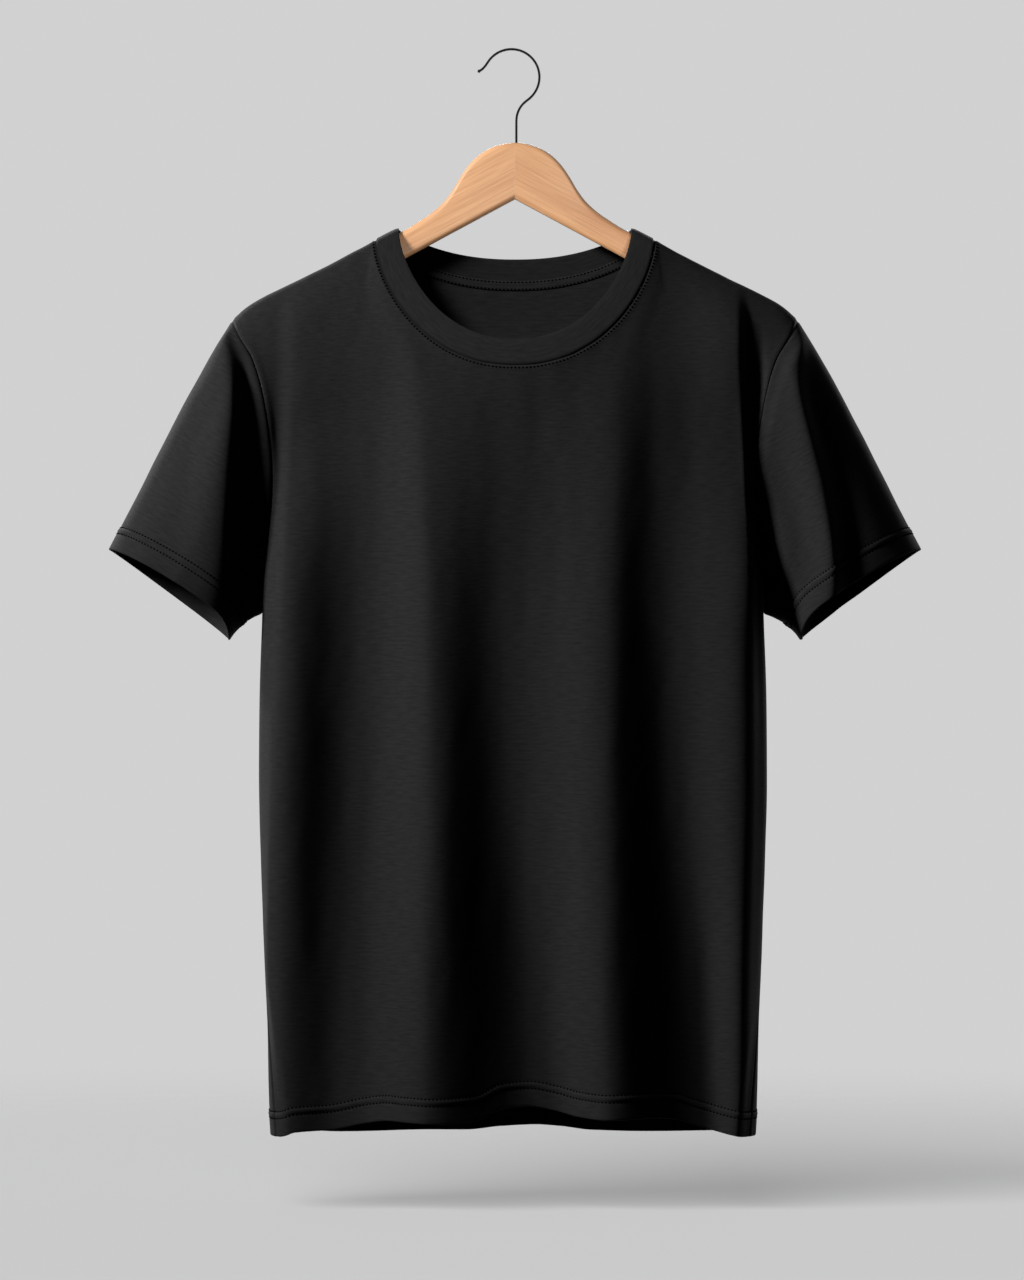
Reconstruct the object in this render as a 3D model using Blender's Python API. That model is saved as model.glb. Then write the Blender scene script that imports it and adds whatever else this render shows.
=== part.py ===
"""A plain crew neck t-shirt, hanging open on a two-part wooden hanger with a bent wire hook.

Metres, +Z up, the front of the shirt faces -Y. The origin is the underside of the hook's crown, where a
rail holds it. Sizes below are in millimetres, and they become metres when an object is made. Left and
right are as seen from the front.
"""

import math

import bmesh
import bpy
import numpy as np

MM = 0.001

# The jersey, its seams and its edges
WALL = 1.2  # one layer of jersey with its body
HEM_WALL = 2.0  # turned up and sewn double
HEM_HEIGHT = 20.0
CUFF_HEM_HEIGHT = 19.0
HEM_STEP = 0.08  # share of a hem's height over which the wall doubles
SEAM_TRIM = 0.17  # each piece stops this far short of a seam line
SHARPEST_SEAM = 0.45  # cosine of the widest turn over which a wall keeps its thickness
RIB_PROUD = 0.8  # the neckband stands this far out of the body
RIB_STEP = 0.3  # where its face starts, at the seam
RIB_TURN = 0.12  # share of its width that rounds over at each edge
RIB_TUCK = 0.75  # how deep its free edge is at the inner face, as a share of the wall
TAPE_CLEARANCE = 0.35
TAPE_WALL = 1.0
TAPE_HALF_WIDTH = 4.4
TAPE_STARTS = 2  # columns from each end of the back neck, clear of the hanger

# How the body is laid out: columns across a panel, rows down it
SHOULDER_COLUMNS = 7
NECK_COLUMNS = 16
NECK_TURNS = (1.3, 4.6)  # drops below the neck's ends where the neckline still turns over the hanger
COLUMNS = 2 * SHOULDER_COLUMNS + NECK_COLUMNS
ARMHOLE_ROW_ANGLES = (0, 7, 14, 27, 41, 55, 69, 83, 97, 111, 125, 139, 153, 167, 180)
BODY_ROWS = 11  # from the armpit to the top of the hem
COLUMN_SPREAD = 0.7  # how soon the columns leave the neck for their even places round the body

# The body's own form
SHIRT_MIDDLE = 2.4  # the neck and shoulders sit this far to the right of the hook's crown
BODY_MIDDLE = 0.8  # the body below the armpits hangs this far to the right of it
FRONT_DEPTH = 70.0  # how far the front stands from the hanger's plane
BACK_DEPTH = 66.0
ROLL = 9.0  # radius of the cloth where it turns over the hanger
ROLL_ANGLE = math.radians(65)
ARMHOLE_DEPTH = {-1: 36.0, 1: 33.0}  # half the armhole's width, in front and behind
ROUNDNESS = 2.4  # exponent of the body's oval
ARMPIT_SHARPNESS = 10  # keeps the fold under the arm close to the side
SIDE_SEAM_SWING = math.radians(21)  # the side seams come forward towards the hem
SWING_FROM = -690.0
ARMPIT = -450.0
SHOULDER_POINT = -216.0
SHOULDER_TIP = 226.4
SHOULDER_SLOPE = 0.515

# The neckline: the seam, and the free edge of the neckband
NECK_EXPONENT = 2.2
SEAM_OUT, SEAM_UP = 111.3, -152.0
EDGE_OUT, EDGE_UP = 93.8, -142.6
SEAM_DROP = {-1: 100.8, 1: 35.8}
EDGE_DROP = {-1: 89.8, 1: 24.3}
DROP_EXPONENT = {-1: 1.6, 1: 1.2}

SHOULDER_LINE = {
    "out": (111.3, 140.8, 173.2, 205.6, 212.4, 217.6, 221.8, 226.4),
    "up": (-151.0, -167.0, -183.2, -199.2, -203.4, -207.4, -211.4, -216.0),
}
SIDE_COLUMNS = ("up", "out")
SIDE_LINE = dict(
    zip(
        SIDE_COLUMNS,
        zip(
            (-868, 193.2),
            (-840, 194.8),
            (-776, 196.2),
            (-712, 198.8),
            (-648, 201.2),
            (-583, 202.8),
            (-519, 202.4),
            (-450, 200),
            (-428, 199),
            (-389, 194.6),
            (-360, 192.3),
            (-337, 192),
            (-311, 194.2),
            (-278, 199.4),
            (-248, 208.5),
            (-228, 220.5),
            (-216, 226.4),
        ),
    )
)
HEM_LINE = {
    "across": (-1, -0.8, -0.6, -0.4, -0.2, 0, 0.2, 0.4, 0.6, 0.8, 1),
    "front": (-866, -861, -853, -853, -850, -841, -842, -847, -850, -853, -866),
    "back": (-866, -867, -868, -868, -866, -862, -864, -867, -868, -867, -866),
}

# Folds of the body: where the crest runs, how far its gentle and steep flanks reach, and its rise.
# Each fades in below its top.
FOLD_COLUMNS = ("face", "top_x", "top_z", "foot_x", "gentle", "steep", "rise", "fade")
FOLDS = (
    (-1, -160, -270, -176, 34, 30, 9, 230),
    (-1, -66, -300, -52, 88, 42, 17, 260),
    (-1, 92, -250, 84, 92, 36, 17, 230),
    (-1, 180, -300, 176, 62, 26, 12, 160),
    (1, 150, -290, 164, 60, 34, 11, 220),
    (1, 40, -300, 52, 84, 44, 15, 260),
    (1, -78, -270, -70, 80, 40, 16, 240),
    (1, -172, -330, -168, 46, 26, 9, 180),
)

# Sleeves: the cuff's middle, half its width along the slant, its depth and the lift of its two rims
CUFF_OUT, CUFF_UP = 277.0, -435.4
CUFF_SLANT = math.radians(36.9)
CUFF_HALF_WIDTH = 60.0
CUFF_DEPTH = {-1: 47.0, 1: 45.0}
CUFF_LIFT = {-1: 13.5, 1: 0.5}
SLEEVE_SLOPE = math.radians(61.6)
CUFF_LIFT_PEAK = math.radians(122)
CUFF_LIFT_SHAPE = 1.3  # exponent of the rims' lift round the cuff
CUFF_SHAPE = 0.9  # exponent of the cuff's opening, seen from its end
SLEEVE_STATIONS = (0, 0.09, 0.19, 0.3, 0.43, 0.58, 0.74)
SLEEVE_LEAVES_TOP = (0.54, -0.84)  # out and up: how the sleeve leaves the shoulder
SLEEVE_LEAVES_LOW = (0.94, -0.34)  # and the armpit
SLEEVE_LEAVES_FORWARD = 0.25
SLEEVE_LOW_FROM = math.radians(110)  # how far round the armhole the second way holds
SLEEVE_RIDGE = 11.0  # the fold's crest where the cloth breaks below the shoulder
SLEEVE_RIDGE_REACH = 0.2  # share of the sleeve's length
SLEEVE_RIDGE_TOP, SLEEVE_RIDGE_LOW = 0.12, 0.48  # where it runs, as a share of the sleeve's length
SLEEVE_RIDGE_LOW_FROM = math.radians(120)
SLEEVE_VALLEY = 15.0  # the hollow between the fold and the armhole
SLEEVE_VALLEY_REACH = 0.13
SLEEVE_VALLEY_PLACE = 0.45  # share of the way to the crest
SLEEVE_FOLD_SHAPE = 0.8  # exponent of the fold's strength round the sleeve
SLEEVE_FOLD_GROWS = 0.08  # over this share of the length
SLEEVE_FOLD_STARTS, SLEEVE_FOLD_FULL = 0.25, 1.05  # turns round the armhole, in radians

# The hanger: half its outline, from the middle out
HANGER_OUTLINE = {
    "out": (0, 10.5, 20, 28.5, 37.2, 43.6, 50, 57.1, 66.4, 75.7, 87.4, 99, 114),
    "up": (-73.6, -74, -77.7, -83.1, -91.6, -100.8, -111.6, -121, -129.4, -135.8, -143, -148.6, -154.9),
}
HANGER_NOTCH = -118.8  # height of the underside at the middle
HANGER_SLOPE = 0.538
HANGER_END = 213.0
HANGER_THICKNESS = 11.0
HANGER_ROUNDING = 4.0
HANGER_CLEARANCE = 2.35  # below the outside of the cloth, measured upright
HANGER_STATIONS = 21
HANGER_UNDER_CLOTH = 92.0  # from here out the top follows the shirt's shoulder
HANGER_TIP = 10.0  # length of its rounded end
HANGER_TIP_STATIONS = (4.5, 7.8, 9.4, 10.0)
HANGER_TIP_HEIGHT = 0.25  # share of the height left at the very end
HANGER_TIP_WIDTH = 0.55  # share of the thickness left there
HANGER_TIP_DROP = 0.35  # how the height lost is shared between top and bottom
GLUE_JOINT = 0.16  # half the gap between the two wooden arms

# The hook: a wire bent round the rail, with a turned-out end and a bead
WIRE = 1.5
CROWN_RADIUS = 22.4
CROWN_MIDDLE_X = -0.4
SHANK_X = 3.5
SHANK_FOOT = -73.2
HOOK_START = math.radians(160)
HOOK_LEAVES = math.radians(-56)
TIP = (-28.4, -16.6)
BEAD_RUN = (2.2, 0.9)  # from the tip to the end of the bead
TURN_OUT = (-1.6, -1.6)  # where the wire leaves the crown for its turned-out end
BEAD = 2.0

COTTON = ((0.012, 0.012, 0.013, 1), 0.85, 0.0)
RIB_KNIT = ((0.013, 0.013, 0.014, 1), 0.88, 0.0)
TAPE_TWILL = ((0.010, 0.010, 0.011, 1), 0.8, 0.0)
BEECH = ((0.68, 0.40, 0.21, 1), 0.45, 0.0)
STEEL = ((0.30, 0.30, 0.31, 1), 0.3, 1.0)


def smooth_step(value):
    value = np.clip(value, 0, 1)
    return value * value * (3 - 2 * value)


def bell(value):
    return np.exp(-(value * value))


def follow(table, given, wanted, value):
    """The wanted column of a table at a value of the given column, along a line with no overshoot."""
    order = np.argsort(table[given])
    xs = np.asarray(table[given], float)[order]
    ys = np.asarray(table[wanted], float)[order]
    step = np.diff(xs)
    rise = np.diff(ys) / step
    same_way = rise[:-1] * rise[1:] > 0
    mean = np.where(same_way, 2 * rise[:-1] * rise[1:] / np.where(same_way, rise[:-1] + rise[1:], 1), 0)
    slope = np.concatenate([rise[:1], mean, rise[-1:]])
    value = np.clip(value, xs[0], xs[-1])
    k = np.clip(np.searchsorted(xs, value, side="right") - 1, 0, len(step) - 1)
    t = (value - xs[k]) / step[k]
    bend = (2 * t - 3) * t * t
    return (
        ys[k] * (1 + bend)
        - ys[k + 1] * bend
        + step[k] * t * (1 - t) * (slope[k] * (1 - t) - slope[k + 1] * t)
    )


def shoulder_height(out):
    """Height of the line where front and back meet over the hanger, continued across the neck."""
    out = np.abs(out)
    soft = np.where(out < 60, (out * out + 3600) / 120, out)
    across_neck = SHOULDER_LINE["up"][0] + SHOULDER_SLOPE * (SHOULDER_LINE["out"][0] - soft)
    return np.where(out < SHOULDER_LINE["out"][0], across_neck, follow(SHOULDER_LINE, "out", "up", out))


def side_out(up):
    return follow(SIDE_LINE, "up", "out", up)


def middle_at(up):
    share = smooth_step((up - ARMPIT) / (SHOULDER_POINT - ARMPIT))
    return BODY_MIDDLE + (SHIRT_MIDDLE - BODY_MIDDLE) * share


def hang_depth(drop, depth):
    """Distance from the hanger's plane once the cloth has turned over the hanger and dropped this far."""
    rolled = np.sqrt(np.maximum(drop * (2 * ROLL - drop), 0))
    roll_drop = ROLL * (1 - math.cos(ROLL_ANGLE))
    roll_out = ROLL * math.sin(ROLL_ANGLE)
    reach = (depth - roll_out) * math.tan(ROLL_ANGLE)
    swelled = depth - (depth - roll_out) * np.exp(-(drop - roll_drop) / reach)
    return np.where(drop < roll_drop, rolled, swelled)


def body_point(turn, up, face):
    """A point of the body without folds. turn runs from 0 at the left side to pi at the right one."""
    across = -np.sign(np.cos(turn)) * np.abs(np.cos(turn)) ** (2 / ROUNDNESS)
    out = side_out(up) * across
    drop = np.maximum(shoulder_height(out) - up, 0)
    fall = np.clip(drop / np.maximum(shoulder_height(out) - ARMPIT, 1), 0, 1)
    near = np.where(np.sin(turn) < 0, -face, face)
    depth = np.where(near < 0, hang_depth(drop, FRONT_DEPTH), hang_depth(drop, BACK_DEPTH))
    armhole = np.where(near < 0, ARMHOLE_DEPTH[-1], ARMHOLE_DEPTH[1])
    edge = 2 * armhole * np.sqrt(fall * (1 - fall))
    power = 1 + (ROUNDNESS - 1) * smooth_step((fall - 0.4) / 0.6)
    fullness = np.abs(np.sin(turn)) ** (2 / power)
    reach = 1 - smooth_step(fall * 1.15) * (1 - np.abs(across) ** ARMPIT_SHARPNESS)
    stand = edge * (1 - fullness) * reach + depth * fullness
    return np.stack([middle_at(up) + out, near * stand, up + 0 * out], axis=-1)


def fold_rise(points, face):
    """How far the folds of one face lift the cloth at these points, as seen from the front."""
    x, z = points[..., 0], points[..., 2]
    total = np.zeros(x.shape)
    for row in FOLDS:
        fold = dict(zip(FOLD_COLUMNS, row))
        if fold["face"] != face:
            continue
        way = np.clip((fold["top_z"] - z) / (fold["top_z"] - SIDE_LINE["up"][0]), 0, 1)
        offset = x - (fold["top_x"] + (fold["foot_x"] - fold["top_x"]) * way)
        gentle_side = offset * -face < 0
        reach = np.where(gentle_side, fold["gentle"], fold["steep"]) * (0.75 + 0.25 * way)
        crest = 0.5 + 0.5 * np.cos(math.pi * np.clip(offset / reach, -1, 1))
        total += fold["rise"] * crest * smooth_step((fold["top_z"] - z) / fold["fade"])
    return total


def neck_point(angle, face, out, up, drop):
    """A point of a neckline as seen from the front. The angle is 0 at its left end and pi at its right."""
    x = -out * np.sign(np.cos(angle)) * np.abs(np.cos(angle)) ** (2 / NECK_EXPONENT)
    z = up - drop * np.sin(angle) ** (2 / DROP_EXPONENT[face])
    return x, z


def neck_angles(face, drop):
    """Angles of the stations round one half of a neckline: close together where it crosses the hanger."""
    turns = [math.asin((turn / drop) ** (DROP_EXPONENT[face] / 2)) for turn in NECK_TURNS]
    between = np.linspace(turns[-1], math.pi - turns[-1], NECK_COLUMNS - 2 * len(turns) + 1)
    ends = [0] + turns[:-1]
    return np.concatenate([ends, between, math.pi - np.array(ends[::-1])])


def on_body(x, z, face):
    """The point of the body's upper part that shows at x, z from the front."""
    across = np.clip(x / side_out(z), -1, 1)
    turn = np.arccos(-np.sign(across) * np.abs(across) ** (ROUNDNESS / 2))
    return body_point(turn, z, face)


def low_turns(top_x):
    """Turns of the columns below the arms: half way from even steps to the spacing of their tops."""
    fine = np.linspace(0, math.pi, 721)
    ring = body_point(fine, np.full(fine.shape, -600.0), -1)
    length = np.concatenate([[0], np.cumsum(np.linalg.norm(np.diff(ring, axis=0), axis=1))])
    even = np.linspace(0, 1, COLUMNS + 1)
    as_top = (top_x + SHOULDER_TIP) / (2 * SHOULDER_TIP)
    return np.interp((even + as_top) / 2 * length[-1], length, fine)


def panel_grid(face):
    """The front (-1) or the back (1) as a grid of points, rows from the top down, columns left to right."""
    top_x = np.empty(COLUMNS + 1)
    top_z = np.empty(COLUMNS + 1)
    neck = slice(SHOULDER_COLUMNS, SHOULDER_COLUMNS + NECK_COLUMNS + 1)
    angles = neck_angles(face, SEAM_DROP[face])
    top_x[neck], top_z[neck] = neck_point(angles, face, SEAM_OUT, SEAM_UP, SEAM_DROP[face])
    run = np.linspace(SHOULDER_TIP, SEAM_OUT, SHOULDER_COLUMNS + 1)[:-1]
    top_x[:SHOULDER_COLUMNS], top_x[-SHOULDER_COLUMNS:] = -run, run[::-1]
    for part in (slice(0, SHOULDER_COLUMNS + 1), slice(COLUMNS - SHOULDER_COLUMNS, COLUMNS + 1)):
        top_z[part] = shoulder_height(top_x[part])
    across = top_x / side_out(top_z)
    top_turn = np.arccos(np.clip(-np.sign(across) * np.abs(across) ** (ROUNDNESS / 2), -1, 1))
    low_turn = low_turns(top_x)

    rows = []
    for angle in ARMHOLE_ROW_ANGLES:
        fall = (1 - math.cos(math.radians(angle))) / 2
        z = top_z + (ARMPIT - top_z) * fall
        turn = top_turn + (low_turn - top_turn) * fall**COLUMN_SPREAD
        rows.append(body_point(turn, z, face))
    hem = follow(HEM_LINE, "across", "front" if face < 0 else "back", -np.cos(low_turn))
    body = np.linspace(0, 1, BODY_ROWS + 1)[1:]
    levels = [ARMPIT + (hem + HEM_HEIGHT * (1 + HEM_STEP) - ARMPIT) * share for share in body]
    levels += [hem + HEM_HEIGHT, hem]
    for z in levels:
        swing = SIDE_SEAM_SWING * smooth_step((SWING_FROM - z) / (SWING_FROM - SIDE_LINE["up"][0]))
        swing = -face * swing
        rows.append(body_point(swing + (math.pi - 2 * swing) * low_turn / math.pi, z, face))
    grid = np.array(rows)
    grid[: len(ARMHOLE_ROW_ANGLES)] = settle_top(grid[: len(ARMHOLE_ROW_ANGLES)], top_z)
    grid[..., 1] += face * fold_rise(grid, face) * fold_room(grid)
    return grid


def settle_top(rows, top_z):
    """Rounding may part the two panels along the shoulder by a hair, so its first row is set exactly."""
    shoulder = np.r_[0 : SHOULDER_COLUMNS + 1, COLUMNS - SHOULDER_COLUMNS : COLUMNS + 1]
    rows[0, shoulder, 1] = 0
    rows[0, shoulder, 2] = top_z[shoulder]
    return rows


def fold_room(grid):
    """Folds fade out towards the panel's side edges, which both panels share."""
    column = np.arange(grid.shape[1])
    edge = np.minimum(column, column[::-1]) / 3
    return smooth_step(edge)[None, :]


def sleeve_grid(side, front, back):
    """A sleeve as rings, from the armhole to the cuff. Each ring runs from the shoulder round the front to
    the armpit and back up behind. side is -1 for the left sleeve and 1 for the right."""
    column = 0 if side < 0 else -1
    last = len(ARMHOLE_ROW_ANGLES) - 1
    armhole = np.concatenate([front[: last + 1, column], back[last - 1 : 0 : -1, column]])
    angles = np.radians(ARMHOLE_ROW_ANGLES)
    around = np.concatenate([angles, 2 * math.pi - angles[last - 1 : 0 : -1]])
    face = np.where(np.sin(around) >= 0, -1, 1)
    fall = np.where(around <= math.pi, around, 2 * math.pi - around)

    slant = np.array([-math.cos(CUFF_SLANT) * side, 0, -math.sin(CUFF_SLANT)])
    raise_way = np.array([-math.sin(CUFF_SLANT) * side, 0, math.cos(CUFF_SLANT)])
    middle = np.array([SHIRT_MIDDLE + side * CUFF_OUT, 0, CUFF_UP])
    depth = np.where(face < 0, CUFF_DEPTH[-1], CUFF_DEPTH[1])
    lift = np.where(face < 0, CUFF_LIFT[-1], CUFF_LIFT[1])
    skewed = np.where(
        fall < CUFF_LIFT_PEAK,
        fall / CUFF_LIFT_PEAK,
        1 + (fall - CUFF_LIFT_PEAK) / (math.pi - CUFF_LIFT_PEAK),
    )
    cuff = (
        middle
        - slant * (CUFF_HALF_WIDTH * np.cos(fall))[:, None]
        + raise_way * (lift * np.sin(skewed * math.pi / 2) ** CUFF_LIFT_SHAPE)[:, None]
    )
    cuff[:, 1] = face * depth * np.abs(np.sin(fall)) ** CUFF_SHAPE

    chord = np.linalg.norm(cuff - armhole, axis=1)[:, None]
    lower = smooth_step(fall / SLEEVE_LOW_FROM)
    out_way, up_way = (top + (low - top) * lower for top, low in zip(SLEEVE_LEAVES_TOP, SLEEVE_LEAVES_LOW))
    leaving = np.stack([side * out_way, -face * SLEEVE_LEAVES_FORWARD * np.sin(fall), up_way], axis=1)
    arriving = np.array([side * math.cos(SLEEVE_SLOPE), 0, -math.sin(SLEEVE_SLOPE)])
    ridge_run = smooth_step(fall / SLEEVE_RIDGE_LOW_FROM)
    ridge_at = SLEEVE_RIDGE_TOP + (SLEEVE_RIDGE_LOW - SLEEVE_RIDGE_TOP) * ridge_run
    starting = smooth_step((fall - SLEEVE_FOLD_STARTS) / (SLEEVE_FOLD_FULL - SLEEVE_FOLD_STARTS))
    rings = []
    for v in SLEEVE_STATIONS:
        ring = (
            armhole * ((1 + 2 * v) * (1 - v) ** 2)
            + cuff * (v * v * (3 - 2 * v))
            + leaving * chord * (v * (1 - v) ** 2)
            + arriving * chord * (v * v * (v - 1))
        )
        ridge = SLEEVE_RIDGE * bell((v - ridge_at) / SLEEVE_RIDGE_REACH)
        valley = SLEEVE_VALLEY * bell((v - SLEEVE_VALLEY_PLACE * ridge_at) / SLEEVE_VALLEY_REACH)
        strength = np.sin(fall) ** SLEEVE_FOLD_SHAPE * smooth_step(v / SLEEVE_FOLD_GROWS) * starting
        ring[:, 1] += face * (ridge - valley) * strength
        rings.append(ring)
    hem_way = arriving * CUFF_HEM_HEIGHT
    rings += [cuff - hem_way * (1 + HEM_STEP), cuff - hem_way, cuff]
    return np.array(rings)


def neckband_sections(front_neck, back_neck):
    """The seam points and the free edge points of the neckband, round from the left over the front."""
    rings = []
    for share in (0, 0.5, 0.86, 1):
        sides = []
        for face in (-1, 1):
            out = SEAM_OUT + (EDGE_OUT - SEAM_OUT) * share
            up = SEAM_UP + (EDGE_UP - SEAM_UP) * share
            drop = SEAM_DROP[face] + (EDGE_DROP[face] - SEAM_DROP[face]) * share
            x, z = neck_point(neck_angles(face, drop), face, out, up, drop)
            z[[0, -1]] = shoulder_height(x[[0, -1]])
            side = on_body(x, z, face)
            side[[0, -1], 1] = 0
            sides.append(side)
        rings.append(np.concatenate([sides[0], sides[1][-2:0:-1]]))
    rings[0] = np.concatenate([front_neck, back_neck[-2:0:-1]])
    return np.array(rings)


def grid_faces(rows, columns, closed):
    """Index quads of a grid of points, wrapping round when closed."""
    steps = columns if closed else columns - 1
    quads = []
    for above in range(0, (rows - 1) * columns, columns):
        below = above + columns
        for here in range(steps):
            there = (here + 1) % columns
            quads.append((above + here, below + here, below + there, above + there))
    return quads


def halved(points, quad):
    """A quad of a seam's wall as two triangles through its lowest corner, so that both sides match."""
    low = min(range(4), key=lambda i: points[quad[i]][2])
    a, b, c, d = quad[low:] + quad[:low]
    return [(a, b, c), (a, c, d)]


def own_normals(points, closed, flipped):
    """Unit normals at the points of one sheet, pointing out of the cloth."""
    rows, columns = points.shape[:2]
    flat = points.reshape(-1, 3)
    sums = np.zeros(flat.shape)
    for quad in grid_faces(rows, columns, closed):
        a, b, c, d = (flat[i] for i in quad)
        sums[list(quad)] += np.cross(c - a, d - b) * (-1 if flipped else 1)
    return sums / np.linalg.norm(sums, axis=1)[:, None]


def ways_out(sheets):
    """Which way is out at every point, alike for sheets that share the point, and longer where they meet at
    an angle so that the wall keeps its thickness. Each sheet is (points, closed, flipped)."""
    own = [own_normals(*sheet) for sheet in sheets]
    shared = {}
    for (points, _, _), normals in zip(sheets, own):
        for point, normal in zip(np.round(points.reshape(-1, 3), 2), normals):
            key = tuple(point)
            shared[key] = shared.get(key, 0) + normal
    result = []
    for (points, _, _), normals in zip(sheets, own):
        ways = np.array([shared[tuple(point)] for point in np.round(points.reshape(-1, 3), 2)])
        ways /= np.linalg.norm(ways, axis=1)[:, None]
        ways /= np.maximum(np.sum(ways * normals, axis=1), SHARPEST_SEAM)[:, None]
        result.append(ways.reshape(points.shape))
    return result


def seam_inset(points, normals, edges):
    """How far each point moves so that the named edges stop short of their seam lines."""
    moves = np.zeros(points.shape)
    for edge in edges:
        line, inside = {
            "top": (np.s_[0], np.s_[1]),
            "left": (np.s_[:, 0], np.s_[:, 1]),
            "right": (np.s_[:, -1], np.s_[:, -2]),
        }[edge]
        along = np.diff(points[line], axis=0)
        along /= np.linalg.norm(along, axis=1)[:, None]
        if edge == "top" and np.allclose(points[0, 0], points[0, -1]):
            before, after = np.concatenate([along[-1:], along]), np.concatenate([along, along[:1]])
        else:
            before, after = np.concatenate([along[:1], along]), np.concatenate([along, along[-1:]])
        tangent = (before + after) / 2
        out = normals[line] / np.linalg.norm(normals[line], axis=1)[:, None]
        across = np.cross(out, tangent)
        length = np.maximum(np.linalg.norm(across, axis=1), 0.6)
        across /= (length * length)[:, None]
        way = np.sign(np.sum(across * (points[inside] - points[line])))
        moves[line] += way * SEAM_TRIM * across
    return moves


def material(name, look):
    colour, roughness, metallic = look
    made = bpy.data.materials.new(name)
    made.use_nodes = True
    shader = made.node_tree.nodes["Principled BSDF"]
    shader.inputs["Base Color"].default_value = colour
    shader.inputs["Roughness"].default_value = roughness
    shader.inputs["Metallic"].default_value = metallic
    return made


def add_object(name, data, look):
    made = bpy.data.objects.new(name, data)
    bpy.context.scene.collection.objects.link(made)
    data.materials.append(material(name + "_look", look))
    return made


def add_mesh(name, points, faces, look):
    """A closed mesh from points in millimetres, with its faces turned outwards."""
    mesh = bpy.data.meshes.new(name)
    work = bmesh.new()
    corners = [work.verts.new(np.asarray(p, float) * MM) for p in points]
    for face in faces:
        work.faces.new([corners[i] for i in face])
    bmesh.ops.triangulate(work, faces=work.faces[:], quad_method="SHORT_EDGE")
    bmesh.ops.recalc_face_normals(work, faces=work.faces[:])
    work.to_mesh(mesh)
    work.free()
    mesh.shade_smooth()
    mesh.set_sharp_from_angle(angle=math.radians(50))
    return add_object(name, mesh, look)


def add_sheet(name, outer, normals, wall, edges, closed, look):
    """A cloth wall: the sheet's points outside, the same points moved in by the wall inside."""
    rows, columns = outer.shape[:2]
    shape = np.concatenate([outer, outer[:, :1]], axis=1) if closed else outer
    around = np.concatenate([normals, normals[:, :1]], axis=1) if closed else normals
    outer = outer + seam_inset(shape, around, edges)[:, :columns]
    inner = outer - normals * wall[:, None, None]
    points = np.concatenate([outer.reshape(-1, 3), inner.reshape(-1, 3)])
    count = rows * columns
    faces = list(grid_faces(rows, columns, closed))
    faces += [tuple(count + i for i in reversed(quad)) for quad in grid_faces(rows, columns, closed)]
    walls = []
    for c in range(columns if closed else columns - 1):
        here, there = c, (c + 1) % columns
        walls.append((here, there, count + there, count + here))
        here, there = here + count - columns, there + count - columns
        walls.append((there, here, count + here, count + there))
    if not closed:
        for r in range(rows - 1):
            here, there = r * columns, (r + 1) * columns
            walls.append((there, here, count + here, count + there))
            here, there = here + columns - 1, there + columns - 1
            walls.append((here, there, count + there, count + here))
    for quad in walls:
        faces += halved(points, quad)
    return add_mesh(name, points, faces, look)


def add_ring_of_sections(name, sections, closed, look):
    """A solid through sections of the same number of points, capped at its ends or closed on itself."""
    sections = np.asarray(sections)
    count, around = sections.shape[:2]
    points = sections.reshape(-1, 3)
    faces = []
    for s in range(count if closed else count - 1):
        t = (s + 1) % count
        for p in range(around):
            q = (p + 1) % around
            faces += halved(points, (s * around + p, s * around + q, t * around + q, t * around + p))
    if not closed:
        faces += [tuple(range(around))[::-1], tuple(range((count - 1) * around, count * around))]
    return add_mesh(name, points, faces, look)


def wall_rows(rows, hem_rows):
    """The wall at each row of a sheet, doubled over its last rows."""
    wall = np.full(rows, WALL)
    wall[-hem_rows:] = HEM_WALL
    return wall


def make_neckband(rings, normals):
    """The folded band: flush with the body inside, a little proud outside and round at its free edge."""
    closed_rings = np.concatenate([rings, rings[:, :1]], axis=1)
    closed_normals = np.concatenate([normals, normals[:, :1]], axis=1)
    seam, middle, shoulder, edge = rings + seam_inset(closed_rings, closed_normals, ("top",))[:, :-1]
    at_seam, at_middle, at_shoulder, at_edge = normals
    turning = edge + (shoulder - edge) * RIB_TURN
    section = [
        seam + at_seam * RIB_STEP,
        seam + (middle - seam) * RIB_TURN + at_seam * RIB_PROUD,
        middle + at_middle * RIB_PROUD,
        shoulder + at_shoulder * RIB_PROUD,
        turning + at_edge * (RIB_PROUD / 2),
        edge - at_edge * (WALL - RIB_PROUD) / 2,
        turning - at_edge * (WALL * RIB_TUCK),
        shoulder - at_shoulder * WALL,
        middle - at_middle * WALL,
        seam - at_seam * WALL,
    ]
    add_ring_of_sections("neck_rib", np.stack(section, axis=1), True, RIB_KNIT)


def make_neck_tape(rings, normals, back, back_normals):
    """The strip over the back neck seam, inside, clear of the hanger at both ends."""
    offset = WALL + TAPE_CLEARANCE
    kept = range(NECK_COLUMNS + TAPE_STARTS, 2 * NECK_COLUMNS - TAPE_STARTS + 1)
    columns = range(SHOULDER_COLUMNS + NECK_COLUMNS - TAPE_STARTS, SHOULDER_COLUMNS + TAPE_STARTS - 1, -1)
    sections = []
    for ring_index, column in zip(kept, columns):
        seam, band = rings[0][ring_index], rings[1][ring_index]
        below = back[3, column] - back[0, column]
        upper = seam + (band - seam) / np.linalg.norm(band - seam) * TAPE_HALF_WIDTH
        lower = seam + below / np.linalg.norm(below) * TAPE_HALF_WIDTH
        normal = back_normals[0, column]
        near = [p - normal * offset for p in (upper, seam, lower)]
        far = [p - normal * (offset + TAPE_WALL) for p in (lower, seam, upper)]
        sections.append(near + far)
    add_ring_of_sections("neck_tape", sections, False, TAPE_TWILL)


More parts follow.
